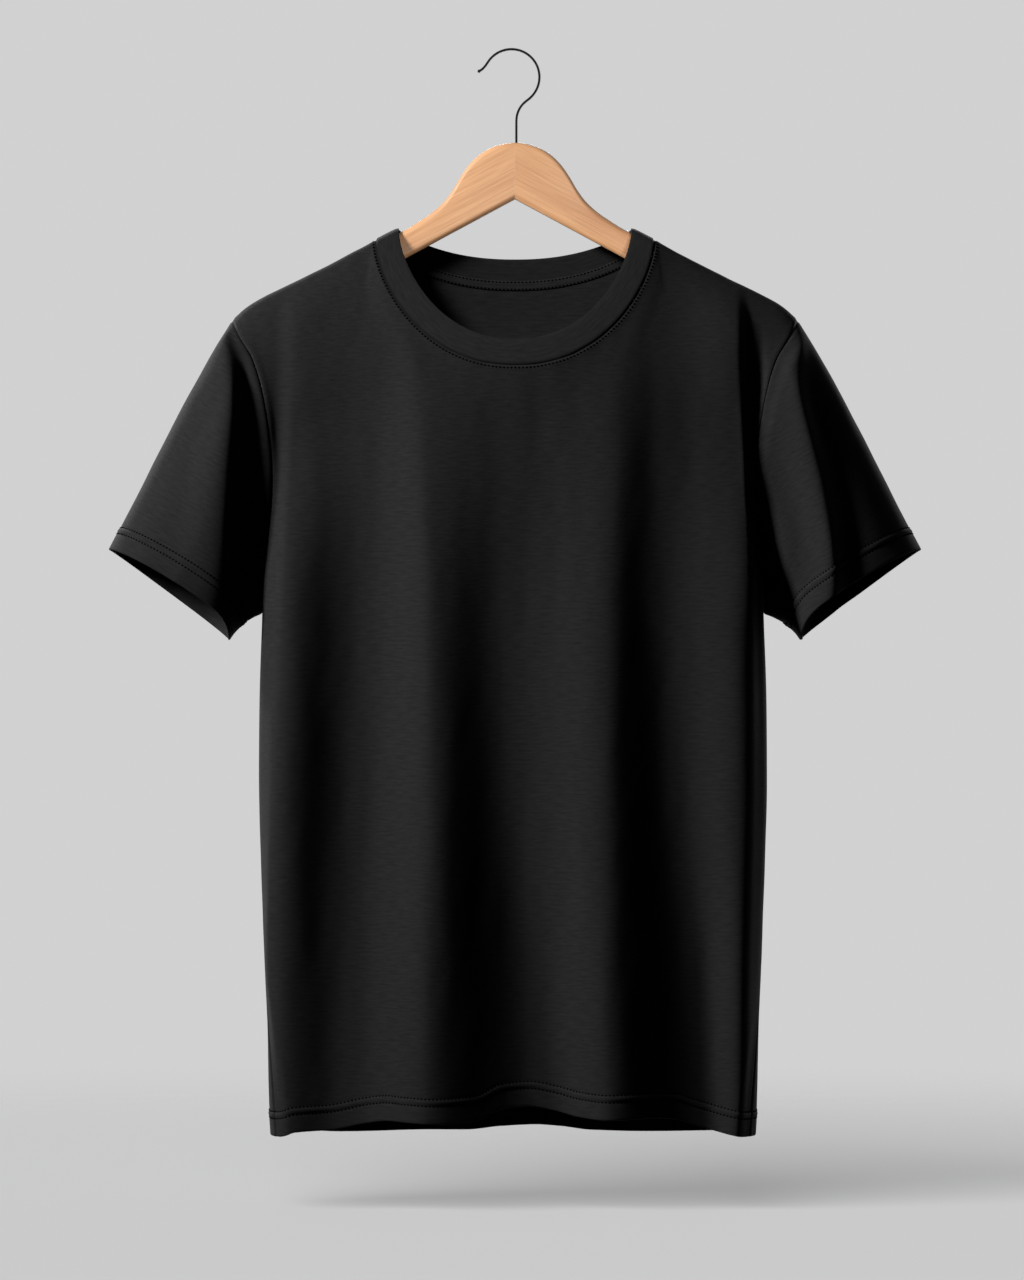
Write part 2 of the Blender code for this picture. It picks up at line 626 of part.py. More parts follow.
def hanger_section(out, side):
    """Points round the hanger's arm at a distance from the middle, with its long edges eased."""
    top = follow(HANGER_OUTLINE, "out", "up", out)
    join = HANGER_OUTLINE["out"][-1]
    under_cloth = shoulder_height(out) - HANGER_CLEARANCE
    top = top + (under_cloth - top) * smooth_step((out - HANGER_UNDER_CLOTH) / (join - HANGER_UNDER_CLOTH))
    bottom = HANGER_NOTCH - HANGER_SLOPE * out
    end = max(0.0, (out - (HANGER_END - HANGER_TIP)) / HANGER_TIP)
    shrink = HANGER_TIP_HEIGHT + (1 - HANGER_TIP_HEIGHT) * math.sqrt(max(0.0, 1 - end * end))
    half = (top - bottom) / 2 * shrink
    middle = top - half - (top - bottom) * (1 - shrink) * HANGER_TIP_DROP
    narrow = HANGER_TIP_WIDTH + (1 - HANGER_TIP_WIDTH) * shrink
    thick = HANGER_THICKNESS / 2 * narrow
    ease = HANGER_ROUNDING * narrow
    section = []
    for corner_y, corner_z, first in ((1, 1, 0), (-1, 1, 90), (-1, -1, 180), (1, -1, 270)):
        for angle in (0, 45, 90):
            turn = math.radians(first + angle)
            y = corner_y * (thick - ease) + ease * math.cos(turn)
            z = middle + corner_z * (half - ease) + ease * math.sin(turn)
            section.append((SHIRT_MIDDLE + side * out, y, z))
    return section


def make_hanger():
    tip_from = HANGER_END - HANGER_TIP
    along = np.linspace(0, tip_from, HANGER_STATIONS)[1:]
    runs = np.concatenate([[GLUE_JOINT], along, tip_from + np.array(HANGER_TIP_STATIONS)])
    for side, name in ((-1, "hanger_left"), (1, "hanger_right")):
        sections = [hanger_section(out, side) for out in runs]
        add_ring_of_sections(name, sections, False, BEECH)


def hook_path():
    """Centre line of the wire from its bead, over the crown, down to the hanger."""
    middle = np.array([CROWN_MIDDLE_X, WIRE - CROWN_RADIUS])
    start = middle + CROWN_RADIUS * np.array([math.cos(HOOK_START), math.sin(HOOK_START)])
    path = [np.array(TIP), np.array(TIP) + BEAD_RUN, start + TURN_OUT]
    for angle in np.linspace(HOOK_START, HOOK_LEAVES, 25):
        path.append(middle + CROWN_RADIUS * np.array([math.cos(angle), math.sin(angle)]))
    leave = path[-1]
    bend_radius = (leave[0] - SHANK_X) / (1 - math.cos(HOOK_LEAVES))
    bend_middle = leave + bend_radius * np.array([math.cos(HOOK_LEAVES), math.sin(HOOK_LEAVES)])
    for angle in np.linspace(HOOK_LEAVES + math.pi, math.pi, 9)[1:]:
        path.append(bend_middle + bend_radius * np.array([math.cos(angle), math.sin(angle)]))
    path.append(np.array([SHANK_X, (path[-1][1] + SHANK_FOOT) / 2]))
    path.append(np.array([SHANK_X, SHANK_FOOT]))
    return path


def make_hook():
    path = hook_path()
    wire = bpy.data.curves.new("hanger_hook", "CURVE")
    wire.dimensions = "3D"
    wire.bevel_depth = WIRE * MM
    wire.bevel_resolution = 3
    wire.use_fill_caps = True
    line = wire.splines.new("POLY")
    line.points.add(len(path) - 1)
    for point, (x, z) in zip(line.points, path):
        point.co = (x * MM, 0, z * MM, 1)
    for point in line.points[:2]:
        point.radius = BEAD / WIRE
    add_object("hanger_hook", wire, STEEL)


def make_shirt():
    front, back = panel_grid(-1), panel_grid(1)
    back[:, [0, -1]] = front[:, [0, -1]] * (1, 0, 1) + back[:, [0, -1]] * (0, 1, 0)
    low = len(ARMHOLE_ROW_ANGLES) - 1
    back[low:, [0, -1]] = front[low:, [0, -1]]
    left, right = sleeve_grid(-1, front, back), sleeve_grid(1, front, back)
    neck = slice(SHOULDER_COLUMNS, SHOULDER_COLUMNS + NECK_COLUMNS + 1)
    rings = neckband_sections(front[0, neck], back[0, neck])
    sheets = [
        (front, False, False),
        (back, False, True),
        (left, True, False),
        (right, True, True),
        (rings, True, True),
    ]
    front_n, back_n, left_n, right_n, rings_n = ways_out(sheets)
    body_wall = wall_rows(len(front), 2)
    sleeve_wall = wall_rows(len(left), 2)
    edges = ("top", "left", "right")
    add_sheet("front_panel", front, front_n, body_wall, edges, False, COTTON)
    add_sheet("back_panel", back, back_n, body_wall, edges, False, COTTON)
    add_sheet("sleeve_left", left, left_n, sleeve_wall, ("top",), True, COTTON)
    add_sheet("sleeve_right", right, right_n, sleeve_wall, ("top",), True, COTTON)
    make_neckband(rings, rings_n)
    make_neck_tape(rings, rings_n, back, back_n)


def main():
    for old in list(bpy.data.objects):
        bpy.data.objects.remove(old)
    make_shirt()
    make_hanger()
    make_hook()


main()
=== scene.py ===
"""The looks of a black crew neck t-shirt that hangs on a wooden hanger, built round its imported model.

Sizes are in millimetres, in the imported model's frame, and become metres when a piece is made. The shirt's
front faces -Y, and left and right are as seen from the front.
"""

import math

import bmesh
import bpy
import numpy as np
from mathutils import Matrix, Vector


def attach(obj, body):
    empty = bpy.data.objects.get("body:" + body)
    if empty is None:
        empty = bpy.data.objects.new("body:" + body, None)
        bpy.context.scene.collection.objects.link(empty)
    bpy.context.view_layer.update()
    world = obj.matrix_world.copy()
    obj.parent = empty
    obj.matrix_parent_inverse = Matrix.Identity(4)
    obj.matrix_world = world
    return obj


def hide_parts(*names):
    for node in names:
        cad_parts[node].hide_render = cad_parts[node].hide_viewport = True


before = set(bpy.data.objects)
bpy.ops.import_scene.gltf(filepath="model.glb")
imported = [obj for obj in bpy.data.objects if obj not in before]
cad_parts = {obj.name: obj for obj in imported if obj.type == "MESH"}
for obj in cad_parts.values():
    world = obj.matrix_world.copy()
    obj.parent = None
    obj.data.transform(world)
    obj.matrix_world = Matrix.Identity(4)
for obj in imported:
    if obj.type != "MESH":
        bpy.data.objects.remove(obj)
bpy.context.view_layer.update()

MM = 0.001

# ---- The cloth ----
WALL = 1.0  # one layer of jersey
HEM_WALL = 1.9  # turned up and sewn double
SEAM_GROOVE = 0.7  # how deep a seam line lies below the cloth beside it
SEAM_GROOVE_REACH = 1.1
SEAM_RIDGE = 0.35  # the seam allowance lifts the cloth beside a seam
SEAM_RIDGE_AT, SEAM_RIDGE_REACH = 3.2, 1.8
SEAM_RIDGES = {"neck": 0.6, "shoulder": 0.5, "side": 0.6, "sleeve": 0.3}  # as shares of it
WRINKLES = 26
WRINKLE_WIDTH, WRINKLE_LENGTH = (14, 42), (70, 200)
WRINKLE_HEIGHT = 0.025 / 30  # to a millimetre of its width
WRINKLE_EDGE = 20.0  # wrinkles fade out over this much cloth towards a panel's side edges
STITCH_ROWS = (20.0, 14.6)  # heights of the hem's two rows of stitches above its rim
STITCH_SINK = 0.3
STITCH_SINK_REACH = 0.9
HEM_WELT, HEM_WELT_REACH = 0.5, 1.7  # the cloth swells between the two rows
HEM_STEP, HEM_STEP_WIDTH = 0.45, 1.6  # and is thicker below them, where it is double
ABOVE_HEM = 100.0  # stands for any height that the hem doesn't reach

# How the body is laid out: columns across a panel, rows down it
SHOULDER_COLUMNS = 42
NECK_COLUMNS = 88
COLUMNS = 2 * SHOULDER_COLUMNS + NECK_COLUMNS
ARMHOLE_ROWS = 84
BODY_ROWS = 96
HEM_ROWS = (
    27, 25, 23.5, 22.2, 21.2, 20.5, 20, 19.5, 18.8, 17.3, 15.8, 15.1, 14.6, 14.1, 13.4, 12, 9, 6, 3, 1.2,
)  # heights above the rim of the hem or the cuff
COLUMN_SPREAD = 0.7
NECK = slice(SHOULDER_COLUMNS, SHOULDER_COLUMNS + NECK_COLUMNS + 1)
SHOULDERS = (slice(0, SHOULDER_COLUMNS + 1), slice(COLUMNS - SHOULDER_COLUMNS, COLUMNS + 1))

# The body's own form
SHIRT_MIDDLE = 2.4
BODY_MIDDLE = 0.8
DEPTH = {-1: 68.0, 1: 64.0}
ROLL = 9.0
ROLL_ANGLE = math.radians(65)
ARMHOLE_DEPTH = {-1: 36.0, 1: 33.0}
ROUNDNESS = 4.4
ARMPIT_SHARPNESS = 10
FULL_FROM = 0.4  # the section starts to fill out at this share of the way to the armpit
ARMHOLE_FADE = 1.15  # and the armhole's depth has left the middle of the panel before it
SIDE_SEAM_SWING = math.radians(21)
SWING_FROM = -690.0
HEM_LEVEL = -868.0
ARMPIT = -450.0
SHOULDER_POINT = -216.0
SHOULDER_TIP = 226.4
SHOULDER_SLOPE = 0.515
NECK_SOFT = 60.0  # the shoulder line is rounded this near the middle
EVEN_LEVEL = -600.0  # where the body's columns are spaced

NECK_EXPONENT = 2.2
SEAM_OUT, SEAM_UP = 111.3, -152.0
EDGE_OUT, EDGE_UP = 93.8, -142.6
SEAM_DROP = {-1: 100.8, 1: 35.8}
EDGE_DROP = {-1: 89.8, 1: 23.4}
DROP_EXPONENT = {-1: 1.6, 1: 1.2}

SHOULDER_LINE = {
    "out": (111.3, 140.8, 173.2, 205.6, 212.4, 217.6, 221.8, 226.4),
    "up": (-151.0, -167.0, -183.2, -199.2, -203.4, -207.4, -211.4, -216.0),
}
SIDE_LINE = {
    "up": (
        -868, -840, -776, -712, -648, -583, -519, -450, -428,
        -389, -360, -337, -311, -278, -248, -228, -216,
    ),
    "out": (
        193.2, 194.8, 196.2, 198.8, 201.2, 202.8, 202.4, 200, 199,
        194.6, 192.3, 192, 194.2, 199.4, 208.5, 220.5, 226.4,
    ),
}
HEM_LINE = {
    "across": (
        -1, -0.96, -0.82, -0.66, -0.57, -0.48, -0.35, -0.17, -0.05,
        0.07, 0.18, 0.3, 0.43, 0.65, 0.73, 0.84, 0.91, 1,
    ),
    "front": (
        -866, -862, -860, -854, -852, -853, -854, -852, -843,
        -841, -844, -849, -851, -850, -851, -857, -861, -866,
    ),
    "back": (
        -866, -866, -867, -868, -868, -868, -868, -867, -864,
        -863, -865, -868, -868, -868, -868, -867, -866, -866,
    ),
}

# Folds of the body: crests and troughs from left to right. Each runs down the listed levels, so far across
# and so far out of the body's own form.
FOLD_LEVELS = (-868, -750, -600, -450, -330, -250)
FRONT_FOLDS = (
    {"across": (-201, -201, -202, -199, -192, -190), "rise": (0, 0, 0, 0, 0, 0)},
    {"across": (-196, -195, -189, -183, -176, -172), "rise": (9, 12, 13, 11, 6.5, 3)},
    {"across": (-132, -126, -120, -117, -114, -110), "rise": (-12, -13, -13, -11, -6.5, -2)},
    {"across": (-67, -65, -62, -64, -68, -73), "rise": (15, 14, 11, 8, 5, 2)},
    {"across": (28, 19, 5, 2, 14, 26), "rise": (-12, -12, -9, -7, -2, -1)},
    {"across": (79, 75, 74, 75, 82, 86), "rise": (13, 13, 10, 7, 4, 1)},
    {"across": (151, 146, 132, 125, 122, 120), "rise": (-9, -9, -8, -6, -3, -1)},
    {"across": (184, 185, 188, 190, 184, 180), "rise": (10, 12, 11, 11, 9, 7)},
    {"across": (197, 198, 200, 197, 192, 190), "rise": (0, 0, 0, 0, 0, 0)},
)
BACK_FOLDS = (
    {"across": (-194, -196, -197, -192, -190, -190), "rise": (2, 2, 2, 1, 0, 0)},
    {"across": (-176, -176, -176, -174, -172, -172), "rise": (10, 11, 11, 8, 4, 0)},
    {"across": (-136, -134, -132, -130, -128, -126), "rise": (-7, -7, -6, -4, -1, 0)},
    {"across": (-70, -72, -74, -76, -78, -78), "rise": (14, 14, 12, 8, 3, 0)},
    {"across": (-14, -18, -22, -24, -24, -24), "rise": (-6, -6, -5, -3, 0, 0)},
    {"across": (52, 50, 46, 42, 40, 40), "rise": (13, 13, 11, 7, 3, 0)},
    {"across": (106, 104, 100, 98, 96, 96), "rise": (-6, -6, -5, -4, -1, 0)},
    {"across": (170, 168, 164, 160, 158, 158), "rise": (11, 11, 10, 7, 3, 0)},
    {"across": (192, 194, 196, 192, 190, 190), "rise": (2, 2, 2, 1, 0, 0)},
)
CREST_SHARPNESS = 1.2  # above 1, flanks are steepest close to their crest
ARMPIT_EASE = 46.0
FOLD_EDGE = 15.0  # folds fade out over this much cloth towards a panel's side edges
FOLD_TOP = 50.0  # and over this much below the neck and shoulder seams
TUCK = 3.0  # the front dips this far beside its right armhole
TUCK_ACROSS, TUCK_REACH = 197.0, 4.5
TUCK_STARTS, TUCK_ENDS = -216.0, -520.0
TUCK_GROWS, TUCK_FADES = 50.0, 80.0

# Sleeves
CUFF_OUT, CUFF_UP = 277.0, -435.4
CUFF_SLANT = math.radians(36.9)
CUFF_HALF_WIDTH = 60.0
CUFF_DEPTH = {-1: 47.0, 1: 45.0}
CUFF_LIFT = {-1: 13.5, 1: 0.5}
SLEEVE_SLOPE = math.radians(61.6)
CUFF_LIFT_PEAK = math.radians(122)
CUFF_LIFT_SHAPE = 1.3
SLEEVE_STATIONS = 78
SLEEVE_LEAVES_TOP = (0.54, -0.84)
SLEEVE_LEAVES_LOW = (0.94, -0.34)
SLEEVE_SWELL = {-1: (0.25, 0.25), 1: (0.1, 1.2)}  # how far forward it leaves the armhole, above and below
SLEEVE_SWELL_FROM, SLEEVE_SWELL_FULL = 1.6, 2.3
SLEEVE_SWELL_BACK = 0.25
SLEEVE_SWELL_SHAPE = 0.6
SLEEVE_LOW_FROM = math.radians(110)
# Each sleeve hangs in one ridge with a valley between it and the armhole: how far from the armhole (0) to
# the cuff (1) the ridge lies at the armpit, and how it gets there from the shoulder
SLEEVE_FOLDS = {
    "side": (-1, 1),
    "ridge": (10.8, 13.5),
    "ridge_from": (0.05, 0.0),
    "ridge_at": (0.79, 1.62),
    "ridge_bend": (1.8, 2.2),
    "ridge_full": (0.2, 0.5),
    "strength_top": (0.05, 0.8),
    "strength_low": (0.6, 0.8),
    "valley_from": (0.1, -0.7),
    "valley": (5.0, 0.5),
    "shape_top": (0.85, 1.0),
    "shape_low": (0.9, 0.27),
    "reach_in": (0.2, 0.3),
    "reach_out": (0.45, 0.18),
}
SLEEVE_RIDGE_LAST = 1.1  # from where it would pass the cuff, it runs along it
SLEEVE_RIDGE_LOW = math.radians(135)
SLEEVE_VALLEY_REACH = 0.14
SLEEVE_VALLEY_PLACE = 0.5
SLEEVE_VALLEY_GROWS = 0.7
SLEEVE_FOLD_GROWS = 0.08
SLEEVE_FULL_WIDTH_AT, SLEEVE_NARROWEST = 0.4, 0.4  # near the armhole the ridge and its valley are narrower

# The neckband and its tape
RIB_PROUD = 0.4
RIB_STATIONS = 12
RIB_DOME = 0.35
RIB_ROLL, RIB_ROLL_AT, RIB_ROLL_REACH = 0.3, 2.0, 1.1  # the band swells just inside its seam
RIB_EDGE = 1.6  # its free edge rounds off over this width
RIB_RIM = 0.7
TAPE_HALF_WIDTH = 4.0
TAPE_WALL = 0.6
TAPE_STITCH = 0.72  # its two rows of stitches, as a share of its half width
TAPE_RAISED = 1.8  # its middle lies this far above the seam
TAPE_PROUD = 0.35  # its face stands this far off the cloth, besides its own wall
TAPE_SINK = 0.25
TAPE_ENDS = 5  # it stops this many columns short of the neck's ends
NECK_STITCH = 2.3  # the row of stitches on the body runs this far from the neck seam

# Thread
STITCH_LENGTH = 1.9
STITCH_PITCH = 3.0
THREAD = 0.7  # radius
THREAD_FLAT = 0.8
THREAD_RAISED = 0.1
THREAD_DIVES = 0.45  # its ends go this share of its radius into the cloth
STITCH_SHAPE = {"along": (-0.5, -0.4, 0, 0.4, 0.5), "swell": (0.25, 0.85, 1.0, 0.85, 0.25)}
STITCH_SIDES = 6

# ---- The hanger ----
HANGER_OUTLINE = {
    "out": (0, 7, 14, 20.5, 28.5, 37.2, 43.6, 50, 57.1, 66.4, 75.7, 87.4, 99, 114),
    "up": (
        -73.4, -74, -75.7, -78.2, -83.1, -91.6, -100.8, -111.6, -121, -129.4, -135.8, -143, -148.6, -154.9,
    ),
}
HANGER_NOTCH = -118.8
HANGER_SLOPE = 0.538
HANGER_END = 213.0
HANGER_THICKNESS = 11.0
HANGER_ROUNDING = 4.2
HANGER_EDGE = 5.5  # how wide its rounded edges are, seen from the front
HANGER_CLEARANCE = 2.35
HANGER_STATIONS = 110
HANGER_UNDER_CLOTH = 92.0
HANGER_TIP = 10.0
HANGER_TIP_HEIGHT = 0.25
HANGER_TIP_WIDTH = 0.55
HANGER_TIP_DROP = 0.35
HANGER_JOIN = 0.03

WIRE = 1.35
CROWN_RADIUS = 22.4
CROWN_TOP = 1.5
CROWN_MIDDLE_X = -0.4
SHANK_X = 3.5
SHANK_FOOT = -74.4
HOOK_START = math.radians(152)
HOOK_LEAVES = math.radians(-56)
# From the bead to the crown's arc
TIP_PATH = ((-28.2, -17.0), (-25.6, -15.9), (-23.4, -14.4), (-21.8, -12.6))
BEAD = 1.95
BEAD_AT, BEAD_REACH = 1.4, 1.5
WIRE_SIDES = 16

# ---- The picture ----
VIEW_HEIGHT = 1024.0  # what the picture's height shows at the hanger's plane
CAMERA_DISTANCE = 6000.0
CAMERA_UP = -471.2
SENSOR = 36.0
FLOOR_LEVEL = -925.0
SHIRT_CENTRE = (0.0, 0.0, -0.45)
KEY_POWER = 14.6
KEY_SPREAD = math.radians(34)
HANGER_AIM = (0, 0, -0.1)


def smooth_step(value):
    value = np.clip(value, 0, 1)
    return value * value * (3 - 2 * value)


def bell(value):
    return np.exp(-(value * value))


def mix(low, high, share):
    return low + (high - low) * share


def unit(vectors):
    return vectors / np.linalg.norm(vectors, axis=-1)[..., None]


def of_face(pair, face):
    """A pair's value for the front (-1) or the back (1)."""
    return np.where(face < 0, pair[-1], pair[1])


def hermite(t, start, end, leaving, arriving):
    """A smooth curve from its start (t = 0) to its end (1), with its slopes at both."""
    return (
        start * ((1 + 2 * t) * (1 - t) ** 2)
        + end * (t * t * (3 - 2 * t))
        + leaving * (t * (1 - t) ** 2)
        + arriving * (t * t * (t - 1))
    )


def follow(table, given, wanted, value):
    """The wanted column of a table at a value of the given column, along a line with no overshoot."""
    order = np.argsort(table[given])
    xs = np.asarray(table[given], float)[order]
    ys = np.asarray(table[wanted], float)[order]
    step = np.diff(xs)
    rise = np.diff(ys) / step
    same_way = rise[:-1] * rise[1:] > 0
    mean = np.where(same_way, 2 * rise[:-1] * rise[1:] / np.where(same_way, rise[:-1] + rise[1:], 1), 0)
    slope = np.concatenate([rise[:1], mean, rise[-1:]])
    value = np.clip(value, xs[0], xs[-1])
    k = np.clip(np.searchsorted(xs, value, side="right") - 1, 0, len(step) - 1)
    t = (value - xs[k]) / step[k]
    bend = (2 * t - 3) * t * t
    return (
        ys[k] * (1 + bend)
        - ys[k + 1] * bend
        + step[k] * t * (1 - t) * (slope[k] * (1 - t) - slope[k + 1] * t)
    )


def shoulder_height(out):
    out = np.abs(out)
    soft = np.where(out < NECK_SOFT, (out * out + NECK_SOFT**2) / (2 * NECK_SOFT), out)
    across_neck = SHOULDER_LINE["up"][0] + SHOULDER_SLOPE * (SHOULDER_LINE["out"][0] - soft)
    return np.where(out < SHOULDER_LINE["out"][0], across_neck, follow(SHOULDER_LINE, "out", "up", out))


def side_out(up):
    return follow(SIDE_LINE, "up", "out", up)


def middle_at(up):
    share = smooth_step((up - ARMPIT) / (SHOULDER_POINT - ARMPIT))
    return mix(BODY_MIDDLE, SHIRT_MIDDLE, share)


def hang_depth(drop, depth):
    rolled = np.sqrt(np.maximum(drop * (2 * ROLL - drop), 0))
    roll_drop = ROLL * (1 - math.cos(ROLL_ANGLE))
    roll_out = ROLL * math.sin(ROLL_ANGLE)
    reach = (depth - roll_out) * math.tan(ROLL_ANGLE)
    swelled = depth - (depth - roll_out) * np.exp(-(drop - roll_drop) / reach)
    return np.where(drop < roll_drop, rolled, swelled)


def across_at(turn, exponent):
    """How far across, from -1 to 1, a turn from the left (0) to the right (pi) lies."""
    return -np.sign(np.cos(turn)) * np.abs(np.cos(turn)) ** (2 / exponent)


def turn_at(across):
    """The turn at a place across the body, from -1 to 1."""
    across = np.clip(across, -1, 1)
    return np.arccos(-np.sign(across) * np.abs(across) ** (ROUNDNESS / 2))


def body_point(turn, up, face):
    """The body's own form, without folds, at a turn and a level."""
    across = across_at(turn, ROUNDNESS)
    out = side_out(up) * across
    drop = np.maximum(shoulder_height(out) - up, 0)
    fall = np.clip(drop / np.maximum(shoulder_height(out) - ARMPIT, 1), 0, 1)
    near = np.where(np.sin(turn) < 0, -face, face)
    edge = 2 * of_face(ARMHOLE_DEPTH, near) * np.sqrt(fall * (1 - fall))
    power = mix(1, ROUNDNESS, smooth_step((fall - FULL_FROM) / (1 - FULL_FROM)))
    fullness = np.abs(np.sin(turn)) ** (2 / power)
    reach = 1 - smooth_step(fall * ARMHOLE_FADE) * (1 - np.abs(across) ** ARMPIT_SHARPNESS)
    stand = edge * (1 - fullness) * reach + hang_depth(drop, of_face(DEPTH, near)) * fullness
    return np.stack([middle_at(up) + out, near * stand, up + 0 * out], axis=-1)


def fold_rise(x, z, folds):
    """How far the folds of one face stand out at x, z, as seen from the front."""
    lines = []
    for fold in folds:
        line = {"up": FOLD_LEVELS, **fold}
        lines.append((follow(line, "up", "across", z), follow(line, "up", "rise", z)))
    total = np.zeros(x.shape)
    for (left, low), (right, high) in zip(lines[:-1], lines[1:]):
        share = np.clip((x - left) / (right - left), 0, 1)
        rising = high >= low
        part = smooth_step(np.where(rising, share, 1 - share) ** CREST_SHARPNESS)
        part = np.where(rising, part, 1 - part)
        total = np.where((x >= left) & (x < right), mix(low, high, part), total)
    return total


def lengths(points, axis):
    """Length run along the grid's rows (axis 0) or columns (axis 1) from its first line."""
    step = np.linalg.norm(np.diff(points, axis=axis), axis=-1)
    return np.concatenate([np.zeros_like(step.take([0], axis)), np.cumsum(step, axis=axis)], axis=axis)


def edge_room(grid, reach):
    """0 at a panel's side edges and 1 from a distance of reach along the cloth."""
    run = lengths(grid, 1)
    near = np.minimum(run, run[:, -1:] - run)
    return smooth_step(near / reach)


def neck_line(face, out, up, drop):
    """Half of a line round the neck, that ends so far out and up and falls so far between."""
    angle = np.linspace(0, math.pi, NECK_COLUMNS + 1)
    z = up - drop * np.sin(angle) ** (2 / DROP_EXPONENT[face])
    return out * across_at(angle, NECK_EXPONENT), z


def low_turns(top_x):
    fine = np.linspace(0, math.pi, 1441)
    length = lengths(body_point(fine, np.full(fine.shape, EVEN_LEVEL), -1), 0)
    even = np.linspace(0, 1, COLUMNS + 1)
    as_top = (top_x + SHOULDER_TIP) / (2 * SHOULDER_TIP)
    return np.interp((even + as_top) / 2 * length[-1], length, fine)


def panel_grid(face):
    """The front (-1) or the back (1) as a grid of points, rows from the top down, columns left to right."""
    top_x, top_z = np.empty((2, COLUMNS + 1))
    top_x[NECK], top_z[NECK] = neck_line(face, SEAM_OUT, SEAM_UP, SEAM_DROP[face])
    run = np.linspace(SHOULDER_TIP, SEAM_OUT, SHOULDER_COLUMNS + 1)[:-1]
    top_x[:SHOULDER_COLUMNS], top_x[-SHOULDER_COLUMNS:] = -run, run[::-1]
    for part in SHOULDERS:
        top_z[part] = shoulder_height(top_x[part])
    top_turn, low_turn = turn_at(top_x / side_out(top_z)), low_turns(top_x)

    rows = []
    for angle in np.linspace(0, math.pi, ARMHOLE_ROWS + 1):
        fall = (1 - math.cos(angle)) / 2
        turn = mix(top_turn, low_turn, fall**COLUMN_SPREAD)
        rows.append(body_point(turn, mix(top_z, ARMPIT, fall), face))
    hem = follow(HEM_LINE, "across", "front" if face < 0 else "back", across_at(low_turn, ROUNDNESS))
    levels = [mix(ARMPIT, hem + HEM_ROWS[0], share) for share in np.linspace(0, 1, BODY_ROWS + 1)[1:-1]]
    levels += [hem + above for above in HEM_ROWS]
    for z in levels:
        swing = -face * SIDE_SEAM_SWING * smooth_step((SWING_FROM - z) / (SWING_FROM - HEM_LEVEL))
        rows.append(body_point(swing + (math.pi - 2 * swing) * low_turn / math.pi, z, face))
    grid = np.array(rows)
    for part in SHOULDERS:
        grid[0, part, 1], grid[0, part, 2] = 0, top_z[part]
    soften_armpit(grid)
    folds = FRONT_FOLDS if face < 0 else BACK_FOLDS
    room = edge_room(grid, FOLD_EDGE) * smooth_step(lengths(grid, 0) / FOLD_TOP)
    grid[..., 1] += face * fold_rise(grid[..., 0], grid[..., 2], folds) * room
    if face < 0:
        x, z = grid[..., 0], grid[..., 2]
        deep = smooth_step((TUCK_STARTS - z) / TUCK_GROWS) * smooth_step((z - TUCK_ENDS) / TUCK_FADES)
        grid[..., 1] += TUCK * deep * bell((x - TUCK_ACROSS) / TUCK_REACH)
    return grid


def soften_armpit(grid):
    """Eases each column's depth past the armpit's level, where the rows above and below meet at an angle."""
    room = edge_room(grid, ARMPIT_EASE)
    z = grid[..., 2]
    for column in range(grid.shape[1]):
        reach = ARMPIT_EASE * room[ARMHOLE_ROWS, column]
        if reach < 2:
            continue
        levels = z[:, column]
        inside = np.abs(levels - ARMPIT) < reach
        first, last = np.flatnonzero(inside)[[0, -1]] + (-1, 1)
        y = grid[:, column, 1]
        top_slope = (y[first - 1] - y[first]) / (levels[first - 1] - levels[first])
        low_slope = (y[last] - y[last + 1]) / (levels[last] - levels[last + 1])
        span = levels[last] - levels[first]
        t = (levels[inside] - levels[first]) / span
        y[inside] = hermite(t, y[first], y[last], span * top_slope, span * low_slope)


